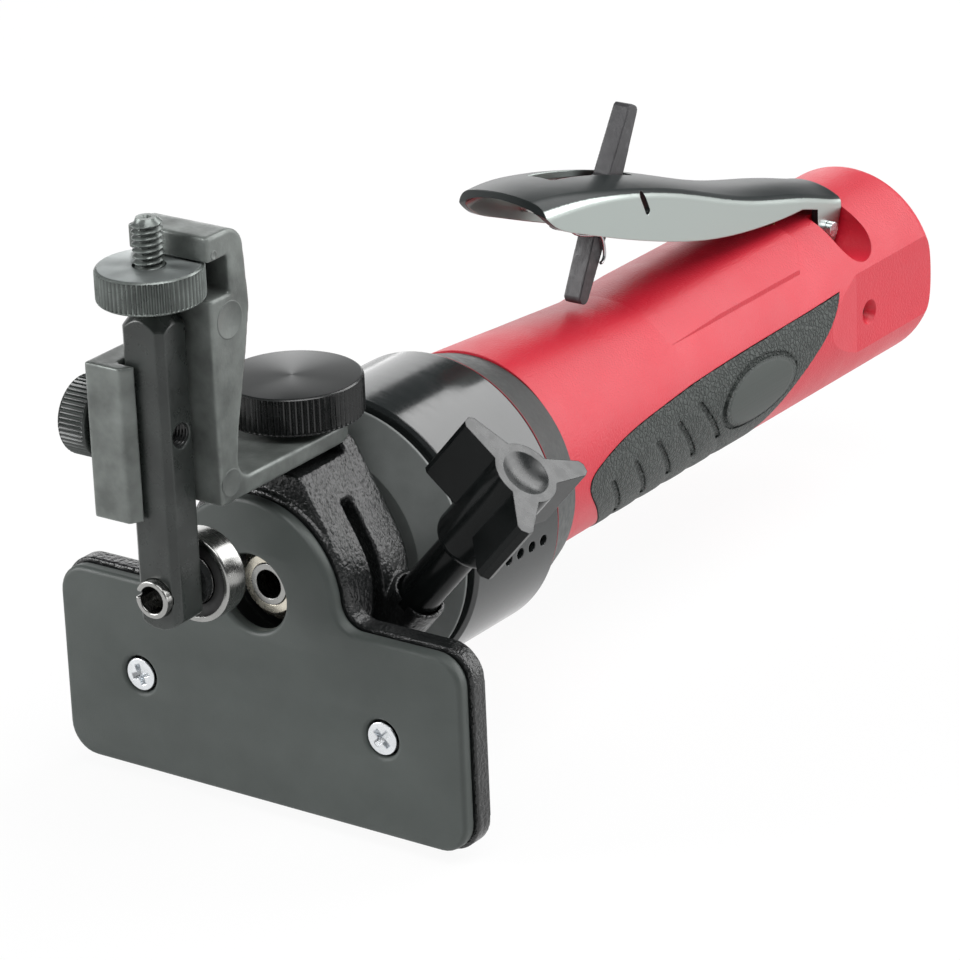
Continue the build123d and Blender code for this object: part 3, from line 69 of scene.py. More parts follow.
# Camera of the photograph
VIEW_AZIMUTH_DEG = 36.28
VIEW_ELEVATION_DEG = 21.91
VIEW_ROLL_DEG = -2.44
VIEW_TARGET = (17.7, 51.0, 8.84)
VIEW_DISTANCE = 1060.9
SENSOR = 36.0
LENS = 188.5

# Floor with a turned-up rim, and sky
FLOOR_GAP = 2.0
FLOOR_R = 6000.0
FLOOR_RIM = 500.0
FLOOR_GREY = 0.86
FLOOR_ROUGH = 0.9
FLOOR_GLOW = 0.92
SKY_COLOUR = (0.92, 0.96, 1.0)
SKY_STRENGTH = 0.08

# Lamps: direction from the part, metres away, direction of the width, width and height in metres, watts
LAMPS = {
    "box_right": ((0.46, 0.75, 0.48), 1.3, (0.72, 0, -0.69), 1.9, 0.75, 20.0),
    "box_left": ((-0.62, 0.75, 0.25), 1.4, (0.77, 0.62, 0), 0.8, 0.7, 3.2),
    "box_front": ((-0.72, -0.60, 0.34), 1.4, (0.64, -0.77, 0), 0.8, 0.7, 17.0),
    "box_top": ((0.35, -0.20, 0.91), 1.3, (1, 0, 0), 0.9, 0.9, 12.5),
}

# Sole and its screws
FACE_Y = -5.7
SOLE_HALF = 52.0
SOLE_BOTTOM = -47.4
SOLE_SHOULDER = -3.65
SOLE_CORNER_R = 6.7
SOLE_T = 3.5
SOLE_EDGE = 1.1
SOLE_HOLE_R = 8.5
LOBE_R = 21.0
LOBE_FILLET = 5.5
SCREW_SPOTS = ((-31.6, -25.4), (31.6, -25.4))
SCREW_HEAD_R = 3.6
SCREW_HEAD_H = 2.0
SCREW_HOLLOW = 0.45
SCREW_SINK = 0.12
SCREW_DOME = 0.1
SCREW_LAND = 0.6
SCREW_NECK_SHARE = 0.6
SCREW_ROUND = 0.2
SCREW_TURN_DEG = 20.0
SCREW_TURN_STEP_DEG = 25.0
RECESS_REACH = 2.45
RECESS_HALF = 0.72
RECESS_DEPTH = 1.7
RECESS_FLOOR_SHARE = 0.45
RECESS_OVER = 0.5
RECESS_MOUTH_SHARE = 1.15

# Threads
THREAD_SLOPE = 1.3
THREAD_LAND = 0.15
THREAD_ROWS = 8
THREAD_BACK = 0.3
THREAD_SLACK = 1e-6

# Guide bar with its stud and its cross hole
BAR_Y = -31.1
BAR_TOP = 70.0
BAR_HALF_X = 5.3
STUD_R = 3.175
STUD_TOP = 89.5
STUD_PITCH = 1.27
STUD_DEPTH = 0.68
STUD_ROWS = 146
STUD_FOOT = 1.0
STUD_FOOT_IN = 0.6
STUD_CHAMFER = 1.0
STUD_CHAMFER_IN = 1.1
DIMPLE_R = 1.0
DIMPLE_FLOOR_R = 0.6
DIMPLE_WALL = 0.5
DIMPLE_DEPTH = 0.6
CROSS_HOLE_Z = 44.7
CROSS_HOLE_R = 2.6
CROSS_PITCH = 0.8
CROSS_DEPTH = 0.42
CROSS_START = -0.4
CROSS_END_GAP = 0.35

# Knurled wheel and knobs
KNURL_STEPS = 8
KNURL_SLACK = 0.05
KNURL_SLOPE = 1.6
KNOB_ROUND = 0.25
TOP_COSINE = 0.95
TOP_SLACK = 0.1
WHEEL_R = 11.0
WHEEL_BOTTOM = 72.4
WHEEL_TOP = 79.6
WHEEL_EDGE = 0.6
WHEEL_BORE_GAP = 0.25
WHEEL_KNURLS = 64
WHEEL_KNURL_DEPTH = 0.45
BIG_KNOB_Y = 11.7
BIG_KNOB_R = 14.8
BIG_KNOB_BOTTOM = 34.1
BIG_KNOB_TOP = 42.4
BIG_KNOB_EDGE = 0.5
BIG_KNOB_HUB_R = 6.5
BIG_KNOB_GAP = 0.15
BIG_KNOB_KNURLS = 72
BIG_KNOB_KNURL_DEPTH = 0.65
FOOT_TOP = 32.6
LOCK_KNOB_R = 8.3
LOCK_KNOB_OUT = -20.05
LOCK_KNOB_IN = -13.05
LOCK_KNOB_EDGE = 0.6
LOCK_KNOB_HUB_R = 5.2
LOCK_KNOB_SEAT = -11.9
LOCK_KNOB_KNURLS = 52
LOCK_KNOB_KNURL_DEPTH = 0.3

# Ejector marks on the bracket's face: place along Y and Z, and radius
BRACKET_FACE_X = 10.8
EJECTOR_MARKS = ((-20.5, 66.6, 4.0), (-23.0, 32.8, 3.0), (-24.2, 81.2, 1.0))
MARK_SUNK = 0.6
MARK_PROUD = 0.08
MARK_FLANK_SHARE = 0.3
MARK_CREST_OUT = 0.12
MARK_CREST_IN = 0.34
MARK_FLOOR_IN = 0.46
MARK_FLOOR_SHARE = 0.2

# Roller bearing and its seals
ROLLER_Z = 10.4
ROLLER_FRONT = -24.6
ROLLER_BACK = -18.6
ROLLER_R = 9.5
ROLLER_RIM = 1.2
ROLLER_SIDE_GAP = 0.05
ROLLER_ROUND = 0.5
INNER_RACE_R = 5.5
SEAL_INSET = 0.4
SEAL_BORE_GAP = 0.25
SEAL_FLAT_IN = 1.2
SEAL_STEP_IN = 0.9
SEAL_STEP = 0.18
SEAL_FIT = 0.02
SEAL_T = 0.8

# Air inlet's thread, and the red line between housing and ring
INLET_R = 5.75
INLET_REAR = 235.3
INLET_PITCH = 1.41
INLET_DEPTH = 0.6
INLET_LENGTH = 16.0
INLET_END_GAP = 0.4
RING_FRONT = 66.3
RING_FRONT_R = 29.8
HOUSING_R = 31.2
SEAM_STEP = 0.45
SEAM_W = 0.28
SEAM_SUNK = 0.4
SEAM_ROUND = 0.12

# Clamp knob's tilt about Y, and the cosine of the lean at which its flanks begin
CLAMP_TILT_DEG = 40.8
STAR_FACE_COSINE = 0.6

# Rubber grip, its folds and its oval badge
BADGE_Y = 158.0
BADGE_Z = -3.8
BADGE_LENGTH = 29.6
BADGE_WIDTH = 14.6
BADGE_THROUGH = 1000.0
FOLD_COUNT = 5
FOLD_FIRST = 96.0
FOLD_PITCH = 9.0
FOLD_W = 1.9
FOLD_TOP_Z = -4.4
FOLD_LENGTH = 12.5
FOLD_CLIMB = 1.5
FOLD_LEAN = 11.2
FOLD_PRESS = 0.5
FOLD_REACH = 0.42
FOLD_FADE = 6.0
FOLD_FADE_ABOVE = 3.0
RIM_GAP = 0.35
RIM_COSINE = 0.7

# Lock with its wound spring
LOCK_Y = 116.5
LOCK_Z = 47.5
LOCK_SHARE = 0.99
LOCK_WIRE = 0.8
LOCK_COIL_R = 3.0
LOCK_TURNS = 4
LOCK_COIL_GAP = 0.6
LOCK_COIL_START = 2.9
LOCK_SPRING_LEAD = 3.0
LOCK_HOOK_SHARE = 0.125
# Each bend of the spring's hooked end: place behind and above the pin, and heading
LOCK_HOOK = (
    (5.5, -6.5, 1.0, -0.3),
    (10.1, -8.9, 0.4, -1.0),
    (10.7, -12.3, 0.0, -1.0),
    (9.1, -14.1, -1.0, 0.0),
)

# Valve's wound spring
VALVE_Y = 190.0
VALVE_WIRE = 0.8
VALVE_COIL_R = 3.6
VALVE_TURNS = 5

# Making of meshes, with the welds in metres
SHARP_DEG = 32.0
SOFT_SHARP_DEG = 60.0
WELD = 1e-7
COARSE_WELD = 1e-6
CORNER_SHARE = 0.45
CORNER_STEPS = 8
LOBE_STEPS = 24
BEVEL_STEPS = 3
WIRE_STEPS = 8
WIRE_REACH = 0.39
SMOOTHING = 0.5
CASTING_TRIANGLES = 120000
GRIP_TRIANGLES = 120000
LOCK_TRIANGLES = 40000
# Voxel and rounds of smoothing of each CAD node's copy with rounded edges
SOFTENING = {
    "base_casting": (0.40, 3),
    "grip_insert": (0.26, 4),
    "guide_bar": (0.26, 2),
    "guide_bracket": (0.42, 4),
    "lock_lever": (0.20, 3),
    "roller_pin": (0.20, 2),
}
# Which of radius times cosine, radius times sine and place along the axis goes to X, Y and Z
TURNED_ABOUT = {"x": (2, 0, 1), "y": (1, 2, 0), "z": (0, 1, 2)}

# Limits between which a noise or a measure of the surface blends two shades
CLOUD_LIMITS = (0.3, 0.7)
HOLLOW_LIMITS = (0.42, 0.50)
WORN_AND_GLINT_LIMITS = (0.51, 0.58)
RUBBED_AND_GLINT_LIMITS = (0.35, 0.65)
CREASE_LIMITS = (0.0, 0.22)
RUBBER_LIMITS = (0.05, 1.0)
BADGE_LIMITS = (0.86, 0.98)
LEVER_LIMITS = (0.84, 0.89)

# Finishes: scales in cells per metre, and each grain as a scale, a depth in millimetres and a strength
BLACK = (0.0, 0.0, 0.0)
WHITE = (1.0, 1.0, 1.0)
CLOUD_DETAIL = 4.0
GLOSS_SHARE = 2.3
GRAIN_DETAIL = 2.0
GRAIN_ROUGH = 0.5
EDGE_SAMPLES = 6
LEAST_ROUGH = 0.03
RUBBED_AND_GLINT_SCALE = 260.0
WEAR_AND_GLINT_LIFT = 2.6
WRINKLE_SHADES = ((0.007, 0.008, 0.008), (0.014, 0.015, 0.015))
WRINKLE_CLOUDS = 300.0
WRINKLE_ROUGH = 0.26
WRINKLE_GRAINS = ((1100.0, 0.32, 1.0), (2400.0, 0.10, 0.7))
RUBBER_SHADES = ((0.014, 0.019, 0.017), (0.046, 0.055, 0.050))
RUBBER_ROUGH = 0.55
RUBBER_GRAIN = (2600.0, 0.04, 0.6)
LEATHER_GRAIN = (900.0, 0.26, 0.85)
LEATHER_SWIRL = 520.0
LEATHER_WARP = 0.0012
LEVER_SHADED_TOP_LIT_SIDES = ((0.013, 0.017, 0.017), (0.40, 0.44, 0.42))
LEVER_METAL = (0.1, 1.0)
LEVER_ROUGH = (0.36, 0.30)
LEVER_SPECULAR = 0.3
LEVER_EDGE = 0.4
LEVER_GRAIN = (1100.0, 0.008, 0.3)
SPUN_CLOUDS = 150.0
SPUN_ANISOTROPY = 0.85
SPUN_LOOKS = {
    "spun_black": dict(dark=(0.010, 0.012, 0.012), light=(0.015, 0.017, 0.017), metal=0.7, rough=0.34),
    "spun_steel": dict(dark=(0.34, 0.37, 0.365), light=(0.46, 0.49, 0.485), metal=0.8, rough=0.36),
}
# Each mottle is a scale and a share of the colour, and each edge a radius in millimetres
LOOKS = {
    "sole_coat": dict(
        colour=(0.055, 0.064, 0.060), rough=0.5, mottle=(60.0, 0.08), grain=(2600.0, 0.06, 0.5),
        specular=0.4),
    "black_plastic": dict(
        colour=(0.005, 0.006, 0.006), rough=0.17, mottle=(180.0, 0.12), edge=0.3, rough_spread=0.04,
        specular=0.12),
    "black_anodised": dict(
        colour=(0.016, 0.019, 0.019), rough=0.15, mottle=(90.0, 0.10), edge=0.4, rough_spread=0.05,
        brushed=(1.0, 9.0, 1.0), specular=0.7),
    "grey_polymer": dict(
        colour=(0.037, 0.042, 0.041), rough=0.5, mottle=(300.0, 0.12), grain=(2200.0, 0.05, 0.5),
        edge=0.3),
    "red_composite": dict(
        colour=(0.555, 0.012, 0.031), rough=0.42, mottle=(40.0, 0.05), grain=(2000.0, 0.14, 0.85),
        edge=0.25, rough_spread=0.04),
    "felt": dict(
        colour=(0.35, 0.34, 0.31), rough=0.95, mottle=(500.0, 0.2), grain=(1500.0, 0.2, 0.8)),
    "black_oxide_steel": dict(
        colour=(0.014, 0.015, 0.015), rough=0.26, mottle=(200.0, 0.18), grain=(1800.0, 0.02, 0.4),
        wear_and_glint=0.5, shade_in_hollows=0.7),
    "bar_steel": dict(
        colour=(0.024, 0.028, 0.026), rough=0.30, metal=0.1, mottle=(110.0, 0.30),
        grain=(1300.0, 0.02, 0.4), wear_and_glint=1.0, shade_in_hollows=0.8),
    "bright_steel": dict(
        colour=(0.34, 0.34, 0.33), rough=0.24, metal=1.0, mottle=(300.0, 0.10),
        grain=(1600.0, 0.01, 0.3), edge=0.25, brushed=(1.0, 14.0, 1.0)),
    "zinc_steel": dict(
        colour=(0.74, 0.76, 0.78), rough=0.28, metal=1.0, mottle=(400.0, 0.08),
        grain=(1500.0, 0.006, 0.3), edge=0.25),
    "nickel": dict(
        colour=(0.70, 0.66, 0.56), rough=0.26, metal=0.9, mottle=(260.0, 0.08),
        grain=(1400.0, 0.02, 0.3), edge=0.3),
    "die_cast": dict(
        colour=(0.128, 0.140, 0.132), rough=0.40, metal=0.30, mottle=(140.0, 0.34),
        grain=(1500.0, 0.06, 0.5), wear_and_glint=0.55, shade_in_hollows=0.7),
    "lock_steel": dict(
        colour=(0.043, 0.042, 0.045), rough=0.48, metal=0.1, mottle=(260.0, 0.20),
        grain=(1500.0, 0.06, 0.6), wear_and_glint=0.4),
    "cast_liner": dict(
        colour=(0.30, 0.30, 0.30), rough=0.4, metal=0.9, mottle=(200.0, 0.12),
        grain=(1200.0, 0.03, 0.4)),
    "vane_fibre": dict(
        colour=(0.25, 0.13, 0.06), rough=0.6, mottle=(500.0, 0.2), grain=(1500.0, 0.05, 0.5)),
    "brass": dict(
        colour=(0.66, 0.48, 0.20), rough=0.28, metal=1.0, mottle=(250.0, 0.08),
        grain=(1500.0, 0.02, 0.3)),
    "seal_black": dict(
        colour=(0.012, 0.012, 0.012), rough=0.5, mottle=(400.0, 0.15), grain=(1500.0, 0.03, 0.4)),
    "spring_steel": dict(
        colour=(0.42, 0.42, 0.43), rough=0.25, metal=1.0, mottle=(600.0, 0.08),
        grain=(1500.0, 0.01, 0.3)),
    "cast_flat": dict(
        colour=(0.121, 0.132, 0.125), rough=0.42, metal=0.35, mottle=(140.0, 0.25),
        grain=(1500.0, 0.06, 0.5)),
    "star_face": dict(
        colour=(0.016, 0.018, 0.018), rough=0.28, mottle=(180.0, 0.12), edge=0.3, specular=0.6),
    "wheel_steel": dict(
        colour=(0.135, 0.150, 0.142), rough=0.32, metal=0.5, mottle=(200.0, 0.20),
        grain=(1800.0, 0.02, 0.4), wear_and_glint=0.6, shade_in_hollows=0.85),
    "seam_red": dict(
        colour=(0.24, 0.006, 0.014), rough=0.5, mottle=(200.0, 0.10)),
    "cone_grey": dict(
        colour=(0.150, 0.162, 0.157), rough=0.5, mottle=(160.0, 0.10), grain=(2200.0, 0.03, 0.4),
        edge=0.4),
}


# Meshes and pieces

def link(name, data):
    piece = bpy.data.objects.new(name, data)
    bpy.context.scene.collection.objects.link(piece)
    return piece


def shaded(mesh, sharp_deg=SHARP_DEG):
    """Smooth shading, with edges sharper than an angle kept crisp."""
    mesh.shade_smooth()
    mesh.set_sharp_from_angle(angle=math.radians(sharp_deg))
    return mesh


def evaluated(piece):
    """The mesh of a piece with its modifiers in place."""
    graph = bpy.context.evaluated_depsgraph_get()
    graph.update()
    return bpy.data.meshes.new_from_object(piece.evaluated_get(graph))


def settle(piece, sharp_deg=SHARP_DEG):
    """Put a piece's modifiers into its mesh."""
    mesh = evaluated(piece)
    piece.modifiers.clear()
    old = piece.data
    piece.data = mesh
    bpy.data.meshes.remove(old)
    shaded(mesh, sharp_deg)
    return piece


def place(piece, body, look, replaced=()):
    """Give a piece its finish and its body, and hide the nodes that it stands for."""
    piece.data.materials.clear()
    piece.data.materials.append(look)
    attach(piece, body)
    if replaced:
        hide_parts(*replaced)
    return piece


def mesh_of(name, points, faces):
    mesh = bpy.data.meshes.new(name)
    mesh.from_pydata([Vector(p) * MM for p in points], [], faces)
    mesh.validate()
    return mesh


def clean(mesh, gap=WELD):
    """Join points that coincide and turn all faces outwards."""
    form = bmesh.new()
    form.from_mesh(mesh)
    bmesh.ops.remove_doubles(form, verts=form.verts, dist=gap)
    bmesh.ops.dissolve_degenerate(form, edges=form.edges, dist=gap)
    bmesh.ops.recalc_face_normals(form, faces=form.faces)
    form.to_mesh(mesh)
    form.free()


def rounded(points, radius, steps=4):
    """A polyline with its inner corners rounded, each no more than its legs allow."""
    out = [points[0]]
    for before, here, after in zip(points, points[1:], points[2:]):
        a, b, c = Vector(before), Vector(here), Vector(after)
        u, v = (a - b), (c - b)
        reach = min(radius, u.length * CORNER_SHARE, v.length * CORNER_SHARE)
        start, end = b + u.normalized() * reach, b + v.normalized() * reach
        for k in range(steps + 1):
            t = k / steps
            spot = start * (1 - t) ** 2 + b * 2 * t * (1 - t) + end * t**2
            out.append((spot.x, spot.y))
    return out + [points[-1]]


def lathe(name, profile, axis, centre, steps=128, shape=None):
    """Turn a profile of (radius, along) about an axis. shape(angle, radius, along) changes each radius."""
    order = TURNED_ABOUT[axis]
    rows = len(profile)
    points = []
    for k in range(steps):
        angle = 2 * math.pi * k / steps
        ca, sa = math.cos(angle), math.sin(angle)
        for radius, along in profile:
            r = shape(angle, radius, along) if shape else radius
            local = (r * ca, r * sa, along)
            points.append(Vector(centre) + Vector([local[part] for part in order]))
    faces = []
    for k in range(steps):
        a, b = k * rows, ((k + 1) % steps) * rows
        for j in range(rows - 1):
            faces.append((a + j, b + j, b + j + 1, a + j + 1))
    mesh = mesh_of(name, points, faces)
    clean(mesh)
    return link(name, shaded(mesh))


def softened(name, node, above=None):
    """A copy of a CAD node with rounded edges, without what is above a height if one is given."""
    voxel, rounds = SOFTENING[node]
    mesh = nodes[node].data.copy()
    form = bmesh.new()
    form.from_mesh(mesh)
    bmesh.ops.remove_doubles(form, verts=form.verts, dist=COARSE_WELD)
    if above is not None:
        everything = form.verts[:] + form.edges[:] + form.faces[:]
        bmesh.ops.bisect_plane(form, geom=everything, plane_co=(0, 0, above * MM), plane_no=(0, 0, 1),
                               clear_outer=True)
        bmesh.ops.holes_fill(form, edges=[e for e in form.edges if e.is_boundary])
    form.to_mesh(mesh)
    form.free()
    piece = link(name, mesh)
    remesh = piece.modifiers.new("remesh", "REMESH")
    remesh.mode = "VOXEL"
    remesh.voxel_size = voxel * MM
    smooth = piece.modifiers.new("smooth", "SMOOTH")
    smooth.factor = SMOOTHING
    smooth.iterations = rounds
    return settle(piece, SOFT_SHARP_DEG)


def thinned(piece, most):
    """Merge the faces of a piece where it is flat, down to a number of triangles."""
    count = sum(len(face.vertices) - 2 for face in piece.data.polygons)
    thin = piece.modifiers.new("thin", "DECIMATE")
    thin.ratio = min(1.0, most / count)
    return settle(piece, SOFT_SHARP_DEG)


def joined(name, pieces):
    """One piece from several."""
    form = bmesh.new()
    for piece in pieces:
        form.from_mesh(piece.data)
        bpy.data.objects.remove(piece)
    mesh = bpy.data.meshes.new(name)
    form.to_mesh(mesh)
    form.free()
    return link(name, shaded(mesh))


def cut(piece, tool):
    """Take a tool's shape out of a piece."""
    hole = piece.modifiers.new("cut", "BOOLEAN")
    hole.operation = "DIFFERENCE"
    hole.solver = "EXACT"
    hole.object = tool
    settle(piece)
    bpy.data.objects.remove(tool)


def from_curve(name, curve):
    """The mesh of a curve."""
    source = link(name + "_curve", curve)
    mesh = evaluated(source)
    bpy.data.objects.remove(source)
    return mesh


def arc(cx, cy, radius, start_deg, end_deg, steps=CORNER_STEPS):
    angles = [math.radians(start_deg + (end_deg - start_deg) * k / steps) for k in range(steps + 1)]
    return [(cx + radius * math.cos(a), cy + radius * math.sin(a)) for a in angles]


def circle(x, z, radius, steps=48):
    return list(reversed(arc(x, z, radius, 0, 360, steps)[:-1]))


def plate(name, loops, y0, y1, edge):
    """A flat plate from outlines in X and Z, with its edges rounded."""
    curve = bpy.data.curves.new(name, "CURVE")
    curve.dimensions = "2D"
    curve.fill_mode = "BOTH"
    for loop in loops:
        spline = curve.splines.new("POLY")
        spline.points.add(len(loop) - 1)
        for point, (x, z) in zip(spline.points, loop):
            point.co = (x * MM, z * MM, 0, 1)
        spline.use_cyclic_u = True
    curve.extrude = ((y1 - y0) / 2 - edge) * MM
    curve.bevel_depth = edge * MM
    curve.bevel_resolution = BEVEL_STEPS
    curve.offset = -edge * MM
    mesh = from_curve(name, curve)
    mesh.transform(Matrix.Translation((0, (y0 + y1) / 2 * MM, 0)) @ Matrix.Rotation(math.pi / 2, 4, "X"))
    mesh.name = name
    clean(mesh, COARSE_WELD)
    return link(name, shaded(mesh))


def wire(name, points, thick):
    """A round wire through points, each with its heading."""
    curve = bpy.data.curves.new(name, "CURVE")
    curve.dimensions = "3D"
    curve.bevel_depth = thick / 2 * MM
    curve.bevel_resolution = BEVEL_STEPS
    curve.resolution_u = WIRE_STEPS
    curve.use_fill_caps = True
    line = curve.splines.new("BEZIER")
    line.bezier_points.add(len(points) - 1)
    for number, (knot, (spot, heading)) in enumerate(zip(line.bezier_points, points)):
        before = (spot - points[max(number - 1, 0)][0]).length * WIRE_REACH
        after = (points[min(number + 1, len(points) - 1)][0] - spot).length * WIRE_REACH
        knot.handle_left_type = knot.handle_right_type = "FREE"
        knot.co = spot * MM
        knot.handle_left = (spot - heading * before) * MM
        knot.handle_right = (spot + heading * after) * MM
    return link(name, shaded(from_curve(name, curve), SOFT_SHARP_DEG))


def coil_points(turns, radius, rise, start_angle):
    """Places and headings at each quarter turn of a coil, with its axis last."""
    points = []
    for step in range(turns * 4 + 1):
        angle = start_angle + math.pi / 2 * step
        ca, sa = math.cos(angle), math.sin(angle)
        spot = (radius * ca, radius * sa, rise * step / 4)
        heading = (-radius * sa, radius * ca, rise / (2 * math.pi))
        points.append((spot, heading))
    return points


def knurled(name, profile, axis, centre, side, count, depth):
    """A turned piece with straight knurls on its outermost face."""
    def shape(angle, radius, _along):
        if radius < side - KNURL_SLACK:
            return radius
        wave = abs((angle * count / (2 * math.pi)) % 1 - 0.5) * 2
        return radius - depth * min(1.0, wave * KNURL_SLOPE)
    return lathe(name, profile, axis, centre, count * KNURL_STEPS, shape)


def thread(pitch, depth, side, start, inward=False):
    """A right-hand thread on the side of a turned piece."""
    def shape(angle, radius, along):
        if abs(radius - side) > THREAD_SLACK:
            return radius
        wave = abs(((along - start) / pitch - angle / (2 * math.pi)) % 1 - 0.5) * 2
        cutting = depth * min(1.0, max(0.0, wave * THREAD_SLOPE - THREAD_LAND))
        return radius - cutting if not inward else radius - depth + cutting
    return shape


def straight_side(radius, start, end, rows):
    """Evenly spaced points of a profile along a straight side."""
    return [(radius, start + (end - start) * k / rows) for k in range(rows + 1)]


def tapped(name, axis, centre, radius, start, end, pitch, depth, steps):
    """A sleeve with the thread of a hole, and with its ends in the hole's wall."""
    rows = int((end - start) / (pitch / THREAD_ROWS))
    back = radius + THREAD_BACK
    profile = [(back, start)] + straight_side(radius, start, end, rows) + [(back, end)]
    return lathe(name, profile, axis, centre, steps, thread(pitch, depth, radius, start, inward=True))


# Finishes

def shader(name):
    look = bpy.data.materials.new(name)
    look.use_nodes = True
    tree = look.node_tree
    return look, tree, tree.nodes["Principled BSDF"]


def feed(tree, value, socket):
    """Give a socket another node's output or a fixed value."""
    if isinstance(value, bpy.types.NodeSocket):
        tree.links.new(value, socket)
    else:
        socket.default_value = value


def maths(tree, kind, first, second=None):
    """One sum on one or two values."""
    node = tree.nodes.new("ShaderNodeMath")
    node.operation = kind
    feed(tree, first, node.inputs[0])
    if second is not None:
        feed(tree, second, node.inputs[1])
    return node.outputs["Value"]


def mixed(tree, kind, factor, first, second, blend="MIX"):
    """Two colours or vectors blended by a factor."""
    node = tree.nodes.new("ShaderNodeMix")
    node.data_type = kind
    node.blend_type = blend
    feed(tree, factor, node.inputs["Factor"])
    feed(tree, first, node.inputs["A"])
    feed(tree, second, node.inputs["B"])
    return node.outputs["Result"]


def noise(tree, scale, detail=3.0, rough=0.55, stretch=None):
    """Noise in the piece's own coordinates, with a scale in cells per metre."""
    spot = tree.nodes.new("ShaderNodeTexCoord").outputs["Object"]
    if stretch:
        mapping = tree.nodes.new("ShaderNodeMapping")
        mapping.inputs["Scale"].default_value = stretch
        tree.links.new(spot, mapping.inputs["Vector"])
        spot = mapping.outputs["Vector"]
    texture = tree.nodes.new("ShaderNodeTexNoise")
    texture.inputs["Scale"].default_value = scale
    texture.inputs["Detail"].default_value = detail
    texture.inputs["Roughness"].default_value = rough
    tree.links.new(spot, texture.inputs["Vector"])
    return texture.outputs["Fac"]


def ramp(tree, value, limits, low, high):
    """Two colours blended by a value between two limits."""
    blend = tree.nodes.new("ShaderNodeValToRGB")
    first, last = blend.color_ramp.elements
    first.position, last.position = limits
    first.color, last.color = (*low, 1), (*high, 1)
    tree.links.new(value, blend.inputs["Fac"])
    return blend.outputs["Color"]


def grey(level):
    return (level,) * 3


def scaled(colour, factor):
    return tuple(min(1.0, c * factor) for c in colour)


def bump(tree, bsdf, height, depth, strength, under=None):
    """Raise the surface by a height, on top of another bump or a soft edge if there is one."""
    node = tree.nodes.new("ShaderNodeBump")
    node.inputs["Strength"].default_value = strength
    node.inputs["Distance"].default_value = depth * MM
    tree.links.new(height, node.inputs["Height"])
    if under is not None:
        tree.links.new(under, node.inputs["Normal"])
    tree.links.new(node.outputs["Normal"], bsdf.inputs["Normal"])
    return node.outputs["Normal"]


def soft_edge(tree, bsdf, radius):
    """Round the sharp edges of a solid by a small radius."""
    node = tree.nodes.new("ShaderNodeBevel")
    node.samples = EDGE_SAMPLES
    node.inputs["Radius"].default_value = radius * MM
    tree.links.new(node.outputs["Normal"], bsdf.inputs["Normal"])
    return node.outputs["Normal"]


def sideways(tree):
    """How far the surface faces sideways or down in the piece's own frame."""
    parts = tree.nodes.new("ShaderNodeSeparateXYZ")
    tree.links.new(tree.nodes.new("ShaderNodeTexCoord").outputs["Normal"], parts.inputs["Vector"])
    side = maths(tree, "ABSOLUTE", parts.outputs["X"])
    down = maths(tree, "MULTIPLY", parts.outputs["Z"], -1.0)
    return maths(tree, "MAXIMUM", side, down)


def finish(name, colour, rough, mottle, metal=0.0, grain=None, wear_and_glint=0.0, brushed=None, rough_spread=0.08,
           specular=0.5, edge=0.0, shade_in_hollows=0.0):
    """A finish with mottled colour, uneven gloss, fine grain, soft edges, paler edges that are partly wear
    and partly a painted highlight, and painted shade in its hollows.
    """
    look, tree, bsdf = shader(name)
    scale, amount = mottle
    clouds = noise(tree, scale, CLOUD_DETAIL)
    shade = ramp(tree, clouds, CLOUD_LIMITS, scaled(colour, 1 - amount), scaled(colour, 1 + amount))
    point = tree.nodes.new("ShaderNodeNewGeometry").outputs["Pointiness"]
    # Painted shade: the colour is darkened where the surface is hollow, as if shade fell there.
    if shade_in_hollows:
        hollow = ramp(tree, point, HOLLOW_LIMITS, grey(1 - shade_in_hollows), WHITE)
        shade = mixed(tree, "RGBA", 1.0, shade, hollow, "MULTIPLY")
    # Paler edges, partly real wear and partly a painted highlight along the edges, broken up by noise.
    if wear_and_glint:
        edges = ramp(tree, point, WORN_AND_GLINT_LIMITS, BLACK, grey(wear_and_glint))
        rubbed_and_glinting = ramp(tree, noise(tree, RUBBED_AND_GLINT_SCALE, CLOUD_DETAIL), RUBBED_AND_GLINT_LIMITS, BLACK, WHITE)
        level = maths(tree, "MULTIPLY", edges, rubbed_and_glinting)
        shade = mixed(tree, "RGBA", level, shade, (*scaled(colour, WEAR_AND_GLINT_LIFT), 1))
    tree.links.new(shade, bsdf.inputs["Base Color"])
    smooth, dull = max(LEAST_ROUGH, rough - rough_spread), min(1.0, rough + rough_spread)
    gloss = noise(tree, scale * GLOSS_SHARE, stretch=brushed)
    tree.links.new(ramp(tree, gloss, CLOUD_LIMITS, grey(smooth), grey(dull)), bsdf.inputs["Roughness"])
    bsdf.inputs["Metallic"].default_value = metal
    bsdf.inputs["Specular IOR Level"].default_value = specular
    under = soft_edge(tree, bsdf, edge) if edge else None
    if grain:
        grain_scale, depth, strength = grain
        height = noise(tree, grain_scale, GRAIN_DETAIL, GRAIN_ROUGH, brushed)
        bump(tree, bsdf, height, depth, strength, under)
    return look


def wrinkle_paint():
    """Black paint that dried in fine glossy wrinkles."""
    look, tree, bsdf = shader("wrinkle_paint")
    clouds = noise(tree, WRINKLE_CLOUDS)
    tree.links.new(ramp(tree, clouds, CLOUD_LIMITS, *WRINKLE_SHADES), bsdf.inputs["Base Color"])
    bsdf.inputs["Roughness"].default_value = WRINKLE_ROUGH
    under = None
    for scale, depth, strength in WRINKLE_GRAINS:
        under = bump(tree, bsdf, noise(tree, scale, GRAIN_DETAIL, GRAIN_ROUGH), depth, strength, under)
    return look


